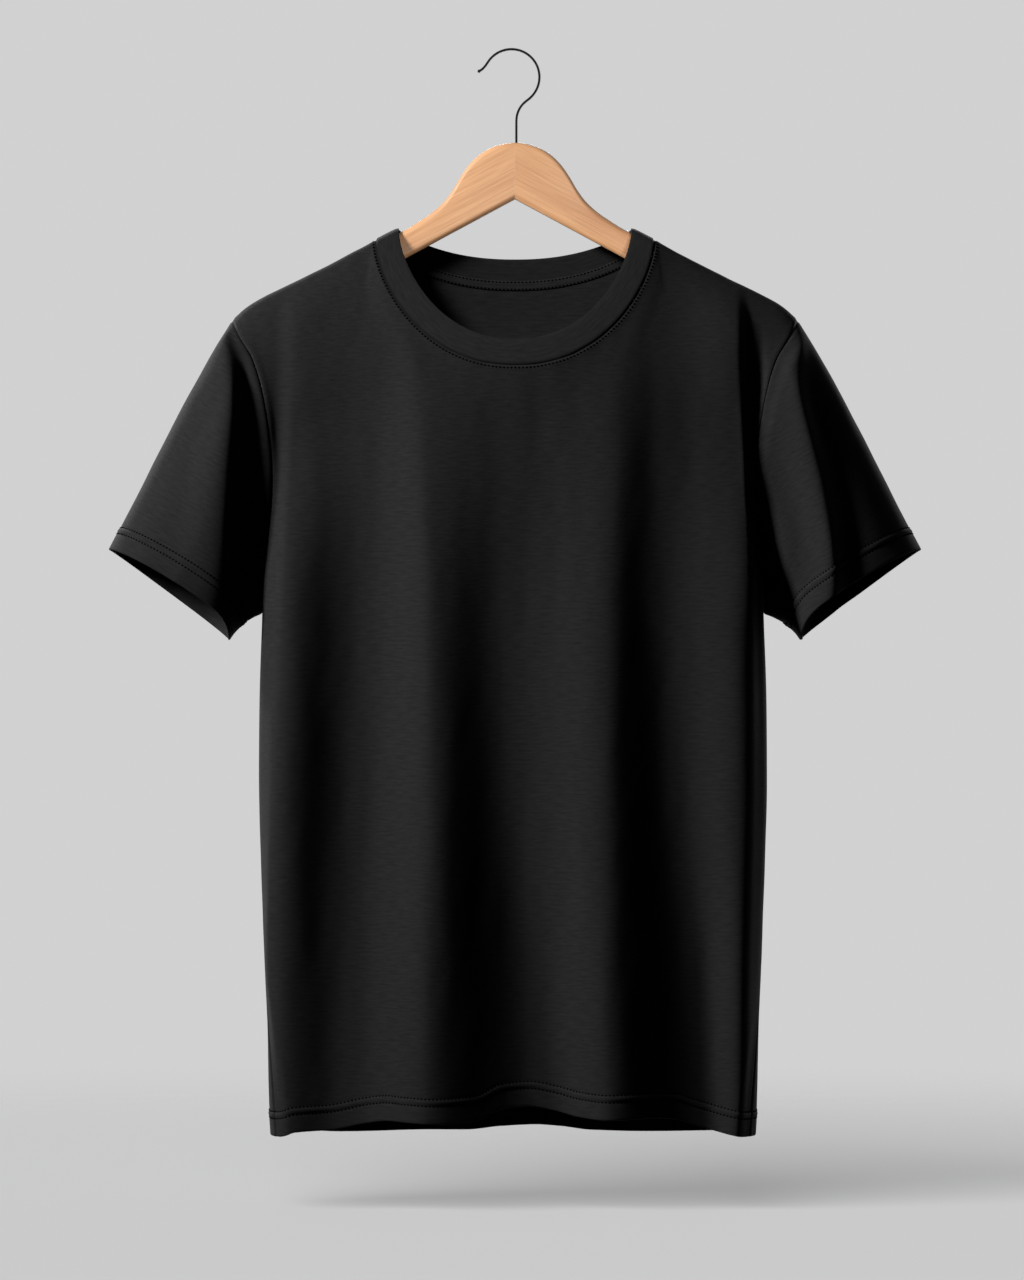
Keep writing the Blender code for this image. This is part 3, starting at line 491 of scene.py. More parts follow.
def sleeve_grid(side, front, back):
    """A sleeve as rings, from the armhole to the cuff. Each ring runs from the shoulder round the front to
    the armpit and back up behind. side is -1 for the left sleeve and 1 for the right."""
    own = {name: values[SLEEVE_FOLDS["side"].index(side)] for name, values in SLEEVE_FOLDS.items()}
    column = 0 if side < 0 else -1
    last = ARMHOLE_ROWS
    armhole = np.concatenate([front[: last + 1, column], back[last - 1 : 0 : -1, column]])
    angles = np.linspace(0, math.pi, last + 1)
    around = np.concatenate([angles, 2 * math.pi - angles[last - 1 : 0 : -1]])
    face = np.where(np.sin(around) >= 0, -1, 1)
    fall = np.where(around <= math.pi, around, 2 * math.pi - around)

    slant = np.array([-math.cos(CUFF_SLANT) * side, 0, -math.sin(CUFF_SLANT)])
    raise_way = np.array([-math.sin(CUFF_SLANT) * side, 0, math.cos(CUFF_SLANT)])
    middle = np.array([SHIRT_MIDDLE + side * CUFF_OUT, 0, CUFF_UP])
    past_peak = (fall - CUFF_LIFT_PEAK) / (math.pi - CUFF_LIFT_PEAK)
    skewed = np.where(fall < CUFF_LIFT_PEAK, fall / CUFF_LIFT_PEAK, 1 + past_peak)
    lift = of_face(CUFF_LIFT, face) * np.sin(skewed * math.pi / 2) ** CUFF_LIFT_SHAPE
    cuff = middle - slant * (CUFF_HALF_WIDTH * np.cos(fall))[:, None] + raise_way * lift[:, None]
    shape = mix(own["shape_top"], own["shape_low"], smooth_step(fall / math.pi))
    cuff[:, 1] = face * of_face(CUFF_DEPTH, face) * np.abs(np.sin(fall)) ** shape

    chord = np.linalg.norm(cuff - armhole, axis=1)[:, None]
    lower = smooth_step(fall / SLEEVE_LOW_FROM)
    out_way, up_way = (mix(*pair, lower) for pair in zip(SLEEVE_LEAVES_TOP, SLEEVE_LEAVES_LOW))
    growing = smooth_step((fall - SLEEVE_SWELL_FROM) / (SLEEVE_SWELL_FULL - SLEEVE_SWELL_FROM))
    swell = np.where(face < 0, mix(*SLEEVE_SWELL[side], growing), SLEEVE_SWELL_BACK)
    leaving = np.stack([side * out_way, face * swell * np.sin(fall) ** SLEEVE_SWELL_SHAPE, up_way], axis=1)
    arriving = np.array([side * math.cos(SLEEVE_SLOPE), 0, -math.sin(SLEEVE_SLOPE)])
    ridge_at = mix(own["ridge_from"], own["ridge_at"], (fall / SLEEVE_RIDGE_LOW) ** own["ridge_bend"])
    ridge_at = ridge_at / (1 + (ridge_at / SLEEVE_RIDGE_LAST) ** 6) ** (1 / 6)
    narrow = np.clip(ridge_at / SLEEVE_FULL_WIDTH_AT, SLEEVE_NARROWEST, 1)
    valley_depth = own["valley"] * smooth_step((fall - own["valley_from"]) / SLEEVE_VALLEY_GROWS)
    power = np.where(fall < math.pi / 2, own["strength_top"], own["strength_low"])
    starting = smooth_step(fall / own["ridge_full"]) * np.maximum(np.sin(fall), 0) ** power

    def ring_at(v):
        ring = hermite(v[:, None], armhole, cuff, leaving * chord, arriving * chord)
        reach = np.where(v < ridge_at, own["reach_in"], own["reach_out"]) * narrow
        ridge = own["ridge"] * bell((v - ridge_at) / reach)
        valley = bell((v - SLEEVE_VALLEY_PLACE * ridge_at) / (SLEEVE_VALLEY_REACH * narrow))
        strength = smooth_step(v / SLEEVE_FOLD_GROWS) * starting
        ring[:, 1] += face * (ridge - valley_depth * valley) * strength
        return ring

    hem_at = 1 - HEM_ROWS[0] / chord[:, 0]
    rings = [ring_at(hem_at * share) for share in np.linspace(0, 1, SLEEVE_STATIONS + 1)[:-1]]
    rings += [ring_at(1 - above / chord[:, 0]) for above in HEM_ROWS]
    return np.array(rings)


def neckband_rings(front_neck, back_neck):
    """The neckband's middle surface as rings from its seam to its free edge."""
    rings = []
    for share in np.linspace(0, 1, RIB_STATIONS):
        sides = []
        for face in (-1, 1):
            drop = mix(SEAM_DROP[face], EDGE_DROP[face], share)
            x, z = neck_line(face, mix(SEAM_OUT, EDGE_OUT, share), mix(SEAM_UP, EDGE_UP, share), drop)
            z[[0, -1]] = shoulder_height(x[[0, -1]])
            side = body_point(turn_at(x / side_out(z)), z, face)
            side[[0, -1], 1] = 0
            sides.append(side)
        rings.append(np.concatenate([sides[0], sides[1][-2:0:-1]]))
    rings[0] = np.concatenate([front_neck, back_neck[-2:0:-1]])
    return np.array(rings)


# ---- Meshes ----
def normals_of(points, closed, flipped):
    """Unit normals of a sheet's grid, out of the cloth."""
    if closed:
        wrapped = np.concatenate([points[:, -1:], points, points[:, :1]], axis=1)
        along = (wrapped[:, 2:] - wrapped[:, :-2]) / 2
    else:
        along = np.gradient(points, axis=1)
    down = np.gradient(points, axis=0)
    normal = np.cross(down, along) * (-1 if flipped else 1)
    return normal / np.maximum(np.linalg.norm(normal, axis=-1), 1e-9)[..., None]


def share_normals(sheets):
    """Normals of sheets given as (points, closed, flipped), alike where sheets share a point."""
    own = [normals_of(*sheet) for sheet in sheets]
    shared = {}
    keys = [[tuple(p) for p in np.round(sheet[0].reshape(-1, 3), 2)] for sheet in sheets]
    for names, normals in zip(keys, own):
        for name, normal in zip(names, normals.reshape(-1, 3)):
            shared[name] = shared.get(name, 0) + normal
    result = []
    for names, normals in zip(keys, own):
        summed = np.array([shared[name] for name in names])
        summed /= np.linalg.norm(summed, axis=1)[:, None]
        result.append(summed.reshape(normals.shape))
    return result


def wrap_round(points, axis):
    """The points with their first line again at the end."""
    return np.concatenate([points, points.take([0], axis)], axis=axis)


def along_line(line, run, places):
    """Points of a polyline, or values at its points, at lengths run along it."""
    return np.stack([np.interp(places, run, line[:, i]) for i in range(3)], axis=-1)


def grid_object(name, points, uv, wrap_rows, wrap_columns):
    """A mesh of quads through a grid of points in millimetres. uv has one column more when columns wrap."""
    rows, columns = points.shape[:2]
    r, c = np.meshgrid(
        np.arange(rows if wrap_rows else rows - 1),
        np.arange(columns if wrap_columns else columns - 1),
        indexing="ij",
    )
    r, c = r.ravel(), c.ravel()
    r_next, c_next = (r + 1) % rows, (c + 1) % columns
    corners = ((r, c), (r_next, c), (r_next, c_next), (r, c_next))
    quads = np.stack([row * columns + column for row, column in corners], axis=1)
    corner_uv = np.stack([uv[r, c], uv[r_next, c], uv[r_next, c + 1], uv[r, c + 1]], axis=1)
    return quads_object(name, points.reshape(-1, 3), quads, corner_uv)


def quads_object(name, points, quads, corner_uv):
    mesh = bpy.data.meshes.new(name)
    mesh.vertices.add(len(points))
    mesh.vertices.foreach_set("co", (points * MM).astype(np.float32).ravel())
    mesh.loops.add(quads.size)
    mesh.loops.foreach_set("vertex_index", quads.astype(np.int32).ravel())
    mesh.polygons.add(len(quads))
    mesh.polygons.foreach_set("loop_start", np.arange(0, quads.size, quads.shape[1], dtype=np.int32))
    mesh.update(calc_edges=True)
    layer = mesh.uv_layers.new(name="cloth")
    layer.data.foreach_set("uv", corner_uv.astype(np.float32).ravel())
    mesh.validate()
    mesh.shade_smooth()
    return add_object(name, mesh)


def turn_outwards(made):
    """Flips a closed mesh whose faces point inwards."""
    mesh = made.data
    mesh.calc_loop_triangles()
    points = np.empty(len(mesh.vertices) * 3, np.float32)
    mesh.vertices.foreach_get("co", points)
    points = points.reshape(-1, 3)
    corners = np.empty(len(mesh.loop_triangles) * 3, np.int32)
    mesh.loop_triangles.foreach_get("vertices", corners)
    a, b, c = points[corners.reshape(-1, 3)].transpose(1, 0, 2)
    if np.einsum("ij,ij->i", a, np.cross(b, c)).sum() < 0:
        mesh.flip_normals()


def shell(name, outer, normals, wall, uv, closed):
    """A cloth wall with a rounded rim at its last row: its outside, the rim and its inside as one grid."""
    inner = outer - normals * wall[:, None, None]
    down = unit(outer[-1] - outer[-2])
    middle, radius = (outer[-1] + inner[-1]) / 2, wall[-1] / 2
    rim = [
        middle + (normals[-1] * math.cos(angle) + down * math.sin(angle)) * radius
        for angle in np.radians((30, 60, 90, 120, 150))
    ]
    points = np.concatenate([outer, np.array(rim), inner[::-1]])
    rim_uv = np.stack([uv[-1] + (0, 0.4 * step) for step in range(1, 6)])
    uv = np.concatenate([uv, rim_uv, uv[::-1] + (0, 2.0)])
    return solid(name, points, uv, True, closed)


def solid(name, points, uv, wrap_rows, wrap_columns):
    """A closed mesh through a grid of points, with its open ends filled and its faces outwards."""
    made = grid_object(name, points, uv, wrap_rows, wrap_columns)
    if not (wrap_rows and wrap_columns):
        work = bmesh.new()
        work.from_mesh(made.data)
        bmesh.ops.holes_fill(work, edges=[e for e in work.edges if e.is_boundary], sides=0)
        bmesh.ops.recalc_face_normals(work, faces=work.faces[:])
        work.to_mesh(made.data)
        work.free()
    turn_outwards(made)
    return made


def dress(made, material, slot, *nodes):
    made.data.materials.append(material)
    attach(made, "root")
    if nodes:
        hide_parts(*nodes)
    return made


# ---- Cloth details ----
def distance_to_line(points, line):
    """Distance of each point from a polyline's points, close enough together to stand for it."""
    flat = points.reshape(-1, 3)
    parts = [flat[start : start + 4000] for start in range(0, len(flat), 4000)]
    nearest = [np.sqrt(((part[:, None] - line) ** 2).sum(-1).min(1)) for part in parts]
    return np.concatenate(nearest).reshape(points.shape[:2])


def seam_profile(distance, ridge):
    """The groove of a seam and the soft ridge of its seam allowance, at a distance from the seam line."""
    groove = -SEAM_GROOVE * bell(distance / SEAM_GROOVE_REACH)
    lift = ridge * SEAM_RIDGE * bell((distance - SEAM_RIDGE_AT) / SEAM_RIDGE_REACH)
    return groove + lift


def hem_profile(height):
    """Two sunk rows of stitches and the welt between them, at a height above the rim."""
    sunk = sum(bell((height - row) / STITCH_SINK_REACH) for row in STITCH_ROWS)
    welt = HEM_WELT * bell((height - sum(STITCH_ROWS) / 2) / HEM_WELT_REACH)
    double = HEM_STEP * smooth_step((STITCH_ROWS[0] + HEM_STEP_WIDTH / 2 - height) / HEM_STEP_WIDTH)
    return welt + double - STITCH_SINK * sunk


def wrinkles(x, z, seed):
    """Slight unevenness of hanging jersey: long soft waves that run mostly down."""
    random = np.random.default_rng(seed)
    total = np.zeros(x.shape)
    for _ in range(WRINKLES):
        angle = random.normal(0, 0.2)
        width = random.uniform(*WRINKLE_WIDTH)
        phase = random.uniform(0, 2 * math.pi)
        across = x * math.cos(angle) + z * math.sin(angle)
        along = (z * math.cos(angle) - x * math.sin(angle)) / random.uniform(*WRINKLE_LENGTH)
        turn = 2 * math.pi * across / width + phase + 1.6 * np.sin(along + phase)
        total += WRINKLE_HEIGHT * width * np.sin(turn)
    return total


def build_shirt(looks):
    front, back = panel_grid(-1), panel_grid(1)
    back[:, [0, -1]] = front[:, [0, -1]] * (1, 0, 1) + back[:, [0, -1]] * (0, 1, 0)
    back[ARMHOLE_ROWS:, [0, -1]] = front[ARMHOLE_ROWS:, [0, -1]]
    left, right = sleeve_grid(-1, front, back), sleeve_grid(1, front, back)
    rings = neckband_rings(front[0, NECK], back[0, NECK])
    sheets = [
        (front, False, False),
        (back, False, True),
        (left, True, False),
        (right, True, True),
        (rings, True, True),
    ]
    normals = share_normals(sheets)
    pieces = {
        "front_panel": build_panel("front_panel", -1, front, normals[0], looks),
        "back_panel": build_panel("back_panel", 1, back, normals[1], looks),
        "sleeve_left": build_sleeve("sleeve_left", -1, left, normals[2], looks),
        "sleeve_right": build_sleeve("sleeve_right", 1, right, normals[3], looks),
    }
    neckband = build_neckband(rings, normals[4], looks)
    tape, tape_rows = build_tape(rings, back, normals[1], looks)
    return pieces, neckband, tape, tape_rows


def sew(name, grid, normal, seams, waves, uv, closed, looks):
    """A piece of jersey on its grid, with its hem. Each seam is (line, kind of seam)."""
    offset = 0
    for line, kind in seams:
        offset = offset + seam_profile(distance_to_line(grid, refined(line)), SEAM_RIDGES[kind])
    height = np.full(len(grid), ABOVE_HEM)
    height[-len(HEM_ROWS) :] = HEM_ROWS
    offset = offset + hem_profile(height)[:, None] + waves
    outer = grid + normal * offset[..., None]
    wall = mix(WALL, HEM_WALL, smooth_step((STITCH_ROWS[0] + 1 - height) / 2))
    made = shell(name + "_cloth", outer, normal, wall, uv, closed)
    return outer, normal, dress(made, looks["jersey"], "jersey", name)


def build_panel(name, face, grid, normal, looks):
    seams = [(grid[0, NECK], "neck"), *((grid[0, part], "shoulder") for part in SHOULDERS)]
    seams += [(grid[:, column], "side") for column in (0, -1)]
    waves = wrinkles(grid[..., 0], grid[..., 2], 3 + face) * edge_room(grid, WRINKLE_EDGE)
    run = lengths(grid, 1)
    uv = np.stack([run - run[:, [COLUMNS // 2]], grid[..., 2]], axis=-1)
    return sew(name, grid, normal, seams, waves, uv, False, looks)


def refined(line):
    """A polyline with three points put in between each two."""
    parts = [mix(line[:-1], line[1:], share) for share in (0, 0.25, 0.5, 0.75)]
    return np.concatenate([np.stack(parts, axis=1).reshape(-1, 3), line[-1:]])


def build_sleeve(name, side, grid, normal, looks):
    fade = smooth_step(np.linspace(0, 1, len(grid)) / 0.1)[:, None]
    waves = wrinkles(grid[..., 0] * 0.9 + grid[..., 1] * 0.4, grid[..., 2], 11 + side) * fade
    around = wrap_round(grid, 1)
    down = np.array([side * math.cos(SLEEVE_SLOPE), 0, -math.sin(SLEEVE_SLOPE)])
    uv = np.stack([lengths(around, 1), -around @ down], axis=-1)
    return sew(name, grid, normal, [(wrap_round(grid[0], 0), "sleeve")], waves, uv, True, looks)


def build_neckband(rings, normal, looks):
    """The folded band as sections: outside, free edge and inside."""
    run = lengths(rings, 0)
    outside, inside = [], []
    for k, share in enumerate(np.linspace(0, 1, len(rings))):
        roll = RIB_ROLL * bell((run[k] - RIB_ROLL_AT) / RIB_ROLL_REACH)
        dome = RIB_DOME * np.sin(math.pi * share) ** 0.7
        edge = RIB_PROUD * (1 - 0.9 * smooth_step((run[k] - run[-1] + RIB_EDGE) / RIB_EDGE))
        lift = edge + dome + roll - (RIB_PROUD + SEAM_GROOVE) * bell(run[k])
        outside.append(rings[k] + normal[k] * lift[:, None])
        inside.append(rings[k] - normal[k] * (WALL + dome * 0.5))
    past = rings[-1] + unit(rings[-1] - rings[-2]) * RIB_RIM
    rim = [past - normal[-1] * 0.15, past - normal[-1] * 0.75]
    points = np.array(outside + rim + inside[::-1])
    middle = lengths(wrap_round(rings[5], 0)[None], 1)
    uv = np.stack([np.repeat(middle, len(points), axis=0), wrap_round(lengths(points, 0), 1)], axis=-1)
    made = solid("neckband_cloth", points, uv, True, True)
    return dress(made, looks["rib"], "rib_knit", "neck_rib")


def build_tape(rings, back, back_normal, looks):
    """The strip sewn over the back neck seam, inside."""
    columns = np.arange(SHOULDER_COLUMNS + NECK_COLUMNS - TAPE_ENDS, SHOULDER_COLUMNS + TAPE_ENDS - 1, -1)
    kept = np.arange(NECK_COLUMNS + TAPE_ENDS, 2 * NECK_COLUMNS - TAPE_ENDS + 1)
    seam, band = rings[0][kept], rings[3][kept]
    seam = seam + unit(band - seam) * TAPE_RAISED
    above, below = unit(band - seam), unit(back[4, columns] - back[0, columns])
    normal = back_normal[0, columns]
    outer, inner = [], []
    for share in np.linspace(-1, 1, 13):
        place = seam + (above if share > 0 else below) * abs(share) * TAPE_HALF_WIDTH
        sink = TAPE_SINK * bell((abs(share) - TAPE_STITCH) / 0.14)
        rounded = TAPE_WALL * (1 - 0.8 * smooth_step((abs(share) - 0.86) / 0.14))
        inner.append(place - normal * (WALL + TAPE_PROUD + rounded - sink))
        outer.append(place - normal * (WALL - 0.1))
    stitched = -normal * (WALL + TAPE_PROUD + TAPE_WALL - TAPE_SINK)
    rows = [(seam + way * TAPE_STITCH * TAPE_HALF_WIDTH + stitched, -normal) for way in (above, below)]
    points = np.array(inner + outer[::-1])
    uv = np.stack([lengths(points, 1), lengths(points, 0)], axis=-1)
    made = solid("neck_tape_cloth", points, uv, True, False)
    return dress(made, looks["tape"], "tape", "neck_tape"), rows


# ---- Stitches ----
def stitch_quads(count):
    """The faces of so many stitches: the rings of each, then its two ends."""
    rings = len(STITCH_SHAPE["along"])
    s, p = np.meshgrid(np.arange(rings - 1), np.arange(STITCH_SIDES), indexing="ij")
    s, p = s.ravel() * STITCH_SIDES, p.ravel()
    q = (p + 1) % STITCH_SIDES
    sides = np.stack([s + p, s + q, s + STITCH_SIDES + q, s + STITCH_SIDES + p], axis=1)
    ends = np.array(((0, 5, 4, 3), (0, 3, 2, 1), (0, 1, 2, 3), (0, 3, 4, 5)))
    ends[2:] += (rings - 1) * STITCH_SIDES
    one = np.concatenate([sides, ends])
    return (np.arange(count)[:, None, None] * rings * STITCH_SIDES + one).reshape(-1, 4)


def stitches(name, lines, material, slot):
    """Rows of thread lying along lines. Each line is (points, normals)."""
    around = np.linspace(0, 2 * math.pi, STITCH_SIDES + 1)[:-1]
    share, swell = np.array(STITCH_SHAPE["along"]), np.array(STITCH_SHAPE["swell"])[:, None]
    sink = THREAD_DIVES * (2 * np.abs(share[:, None])) ** 2 * THREAD
    rise = np.sin(around) * swell * THREAD * THREAD_FLAT + THREAD_RAISED - sink
    width = np.cos(around) * swell * THREAD
    made = []
    for line, normal in lines:
        run = lengths(line, 0)
        count = max(2, int(run[-1] / STITCH_PITCH))
        for place in (np.arange(count) + 0.5) * run[-1] / count:
            thread = along_line(line, run, place + share * STITCH_LENGTH)
            out = unit(along_line(normal, run, place))
            side = np.cross(out, unit(thread[-1] - thread[0]))
            made.append(thread[:, None] + out * rise[..., None] + side * width[..., None])
    quads = stitch_quads(len(made))
    made = quads_object(name, np.array(made).reshape(-1, 3), quads, np.zeros((len(quads), 4, 2)))
    turn_outwards(made)
    return dress(made, material, slot)


def build_stitches(pieces, tape_rows, looks):
    """Rows of stitches round the hem and the cuffs, under the neck seam and along the tape, by piece."""
    made = {}
    for name, (outer, normal, _) in pieces.items():
        rows = [HEM_ROWS.index(height) - len(HEM_ROWS) for height in STITCH_ROWS]
        if name.startswith("sleeve"):
            lines = [(wrap_round(outer[row], 0), wrap_round(normal[row], 0)) for row in rows]
        else:
            seam, out = outer[0, NECK], normal[0, NECK]
            down = np.cross(out, unit(np.gradient(seam, axis=0)))
            down *= -np.sign(down[:, 2].mean())
            lines = [(outer[row], normal[row]) for row in rows]
            lines.append((seam + down * NECK_STITCH + out * (SEAM_GROOVE + THREAD_RAISED), out))
        made[name] = stitches(name + "_stitches", lines, looks["thread"], "jersey")
    made["neck_tape"] = stitches("neck_tape_stitches", tape_rows, looks["thread"], "tape")
    return made


def declare_sheets(pieces, neckband, tape):
    """Gathers the pieces of cloth by name into a table that nothing uses; no size is declared."""
    sheets = {name: piece for name, (_, _, piece) in pieces.items()}
    sheets.update(neck_rib=neckband, neck_tape=tape)


# ---- Hanger ----
def hanger_section(out, side):
    top = follow(HANGER_OUTLINE, "out", "up", out)
    join = HANGER_OUTLINE["out"][-1]
    under_cloth = shoulder_height(out) - HANGER_CLEARANCE
    top = mix(top, under_cloth, smooth_step((out - HANGER_UNDER_CLOTH) / (join - HANGER_UNDER_CLOTH)))
    bottom = HANGER_NOTCH - HANGER_SLOPE * out
    end = max(0.0, (out - (HANGER_END - HANGER_TIP)) / HANGER_TIP)
    shrink = mix(HANGER_TIP_HEIGHT, 1, math.sqrt(max(0.0, 1 - end * end)))
    half = (top - bottom) / 2 * shrink
    middle = top - half - (top - bottom) * (1 - shrink) * HANGER_TIP_DROP
    narrow = mix(HANGER_TIP_WIDTH, 1, shrink)
    thick = HANGER_THICKNESS / 2 * narrow
    ease = HANGER_ROUNDING * narrow
    edge = min(HANGER_EDGE * narrow, half * 0.9)
    section = []
    for corner_y, corner_z, first in ((1, 1, 0), (-1, 1, 90), (-1, -1, 180), (1, -1, 270)):
        for angle in np.linspace(0, 90, 7):
            turn = math.radians(first + angle)
            y = corner_y * (thick - ease) + ease * math.cos(turn)
            z = middle + corner_z * (half - edge) + edge * math.sin(turn)
            section.append((SHIRT_MIDDLE + side * out, y, z))
    return section


def build_hanger(looks):
    tip_from = HANGER_END - HANGER_TIP
    runs = np.concatenate([
        [HANGER_JOIN],
        np.linspace(0, tip_from, HANGER_STATIONS)[1:],
        tip_from + HANGER_TIP * np.sin(np.linspace(0, math.pi / 2, 9)[1:]),
    ])
    arms = []
    for side, name in ((-1, "hanger_left"), (1, "hanger_right")):
        points = np.array([hanger_section(out, side) for out in runs])
        slope = math.atan(HANGER_SLOPE)
        x, z = np.abs(points[..., 0] - SHIRT_MIDDLE), points[..., 2]
        along = x * math.cos(slope) - z * math.sin(slope)
        across = x * math.sin(slope) + z * math.cos(slope) + points[..., 1] * 0.8
        uv = wrap_round(np.stack([along + 500 * side, across], axis=-1), 1)
        made = solid(name + "_arm", points, uv, False, True)
        made.data.set_sharp_from_angle(angle=math.radians(50))
        arms.append(dress(made, looks["beech"], "beech", name))
    return arms


def heading(angle):
    return np.array([math.cos(angle), math.sin(angle)])


def hook_line():
    """Centre line of the wire from its bead, over the crown, down into the hanger."""
    middle = np.array([CROWN_MIDDLE_X, CROWN_TOP - CROWN_RADIUS])
    path = [np.array(point) for point in TIP_PATH]
    for angle in np.linspace(HOOK_START, HOOK_LEAVES, 60):
        path.append(middle + CROWN_RADIUS * heading(angle))
    bend_radius = (path[-1][0] - SHANK_X) / (1 - math.cos(HOOK_LEAVES))
    bend_middle = path[-1] + bend_radius * heading(HOOK_LEAVES)
    for angle in np.linspace(HOOK_LEAVES + math.pi, math.pi, 18)[1:]:
        path.append(bend_middle + bend_radius * heading(angle))
    for share in (0.3, 0.6, 1.0):
        path.append(np.array([SHANK_X, mix(path[-1][1], SHANK_FOOT, share)]))
    return np.array([(x, 0, z) for x, z in path])


def build_hook(looks):
    path = hook_line()
    run = lengths(path, 0)
    places = np.concatenate([[0, 0.25, 0.6, 1.1], np.linspace(1.8, run[-1], 200)])
    line = along_line(path, run, places)
    for _ in range(12):
        line[1:-1] = (line[:-2] + 2 * line[1:-1] + line[2:]) / 4
    tangent = unit(np.gradient(line, axis=0))
    y_way = np.array([0, 1, 0])
    swelled = mix(WIRE, BEAD, bell((places - BEAD_AT) / BEAD_REACH))
    rounded = np.sqrt(np.maximum(places * (2 * BEAD - places), 0.05))
    radius = np.where(places > BEAD, swelled, np.minimum(swelled, rounded))
    around = np.linspace(0, 2 * math.pi, WIRE_SIDES + 1)[:-1, None]
    points = np.array([
        point + (y_way * np.sin(around) + np.cross(way, y_way) * np.cos(around)) * size
        for point, way, size in zip(line, tangent, radius)
    ])
    made = solid("hook_wire", points, np.zeros((len(points), WIRE_SIDES + 1, 2)), False, True)
    return dress(made, looks["steel"], "wire", "hanger_hook")


# ---- Materials ----
def set_inputs(tree, node, inputs):
    """Sets a node's inputs, by name or number: a socket is linked and anything else is its value."""
    for key, value in inputs.items():
        if isinstance(value, bpy.types.NodeSocket):
            tree.links.new(value, node.inputs[key])
        else:
            node.inputs[key].default_value = value


def add_node(tree, kind, inputs=None):
    made = tree.nodes.new("ShaderNode" + kind)
    set_inputs(tree, made, inputs or {})
    return made


def new_material(name):
    made = bpy.data.materials.new(name)
    made.use_nodes = True
    return made, made.node_tree, made.node_tree.nodes["Principled BSDF"]


def grey(value):
    return (value, value, value, 1)


def cloth_place(tree, scale):
    """The cloth's own map, in millimetres, scaled."""
    source = add_node(tree, "UVMap")
    source.uv_map = "cloth"
    return add_node(tree, "Mapping", {"Scale": scale, "Vector": source.outputs["UV"]}).outputs["Vector"]


def noise(tree, place, detail=2.0, roughness=0.5):
    inputs = {"Scale": 1.0, "Detail": detail, "Roughness": roughness, "Vector": place}
    return add_node(tree, "TexNoise", inputs).outputs["Fac"]


def ramp(tree, value, low, high):
    """Colours between two, by a value from 0 to 1. Each end is (place, colour)."""
    made = add_node(tree, "ValToRGB", {"Fac": value})
    for element, (place, colour) in zip(made.color_ramp.elements, (low, high)):
        element.position = place
        element.color = colour
    return made.outputs["Color"]


def bump(tree, shader, layers):
    """Adds bump layers, each (height, strength, distance in metres), to a shader's normal."""
    inputs = {}
    for height, strength, distance in layers:
        inputs.update({"Strength": strength, "Distance": distance, "Height": height})
        inputs["Normal"] = add_node(tree, "Bump", inputs).outputs["Normal"]
    set_inputs(tree, shader, {"Normal": inputs["Normal"]})


def wave(tree, place, axis):
    """A sine along X or Y of a place, one to a unit."""
    made = add_node(tree, "TexWave", {"Scale": 0.5, "Distortion": 0.0, "Vector": place})
    made.wave_type = "BANDS"
    made.bands_direction = axis
    made.wave_profile = "SIN"
    return made.outputs["Fac"]


def jersey_material(name, colour, knit):
    """Knitted cloth of a grey, whose wales and courses are so many millimetres wide."""
    made, tree, shader = new_material(name)
    streaks = noise(tree, cloth_place(tree, (0.09, 0.55, 1)), 3.0, 0.6)
    fuzz = noise(tree, cloth_place(tree, (1.1, 1.6, 1)), 2.0, 0.6)
    wales, courses = (
        wave(tree, cloth_place(tree, (1 / width, 1 / width, 1)), axis) for width, axis in zip(knit, "XY")
    )
    bump(tree, shader, (
        (wales, 0.12, 0.0002),
        (courses, 0.08, 0.0002),
        (fuzz, 0.3, 0.0003),
        (streaks, 0.3, 0.0006),
    ))
    set_inputs(tree, shader, {
        "Base Color": ramp(tree, streaks, (0.3, grey(colour * 0.78)), (0.7, grey(colour * 1.22))),
        "Roughness": 0.85,
        "Specular IOR Level": 0.05,
        "Sheen Weight": 0.01,
        "Sheen Roughness": 0.4,
    })
    return made


def thread_painted_shade_material():
    # The thread's colour is far darker than the cloth's. Part of that is the thread's own black, and part is
    # painted shade of the stitch holes, so the rows show as dark dots.
    made, tree, shader = new_material("thread_painted_shade")
    twist = noise(tree, cloth_place(tree, (2, 2, 1)), 1.0)
    set_inputs(tree, shader, {
        "Base Color": ramp(tree, twist, (0.3, grey(0.0015)), (0.7, grey(0.0025))),
        "Roughness": 0.9,
        "Specular IOR Level": 0.0,
    })
    return made


def beech_material():
    made, tree, shader = new_material("beech")
    grain = noise(tree, cloth_place(tree, (0.011, 0.8, 1)), 5.0, 0.6)
    fine = noise(tree, cloth_place(tree, (0.035, 2.8, 1)), 3.0, 0.6)
    broad = noise(tree, cloth_place(tree, (0.006, 0.05, 1)), 2.0, 0.5)
    streaks = add_node(tree, "Mix", {"Factor": 0.5, 2: grain, 3: fine}).outputs[0]
    wood = add_node(tree, "Mix", {"Factor": 0.3, 2: streaks, 3: broad}).outputs[0]
    bump(tree, shader, ((fine, 0.1, 0.0002), (grain, 0.08, 0.0003)))
    set_inputs(tree, shader, {
        "Base Color": ramp(tree, wood, (0.37, (0.48, 0.22, 0.10, 1)), (0.59, (0.76, 0.42, 0.213, 1))),
        "Roughness": 0.42,
        "Coat Weight": 0.06,
        "Coat Roughness": 0.3,
    })
    return made


def steel_material():
    made, tree, shader = new_material("hook_steel")
    place = add_node(tree, "TexCoord").outputs["Object"]
    mapping = add_node(tree, "Mapping", {"Scale": (900, 900, 900), "Vector": place})
    scratches = noise(tree, mapping.outputs["Vector"])
    bump(tree, shader, ((scratches, 0.02, 0.00002),))
    set_inputs(tree, shader, {
        "Base Color": ramp(tree, scratches, (0.3, (0.78, 0.78, 0.79, 1)), (0.7, (0.9, 0.9, 0.91, 1))),
        "Metallic": 1.0,
        "Roughness": 0.12,
    })
    return made


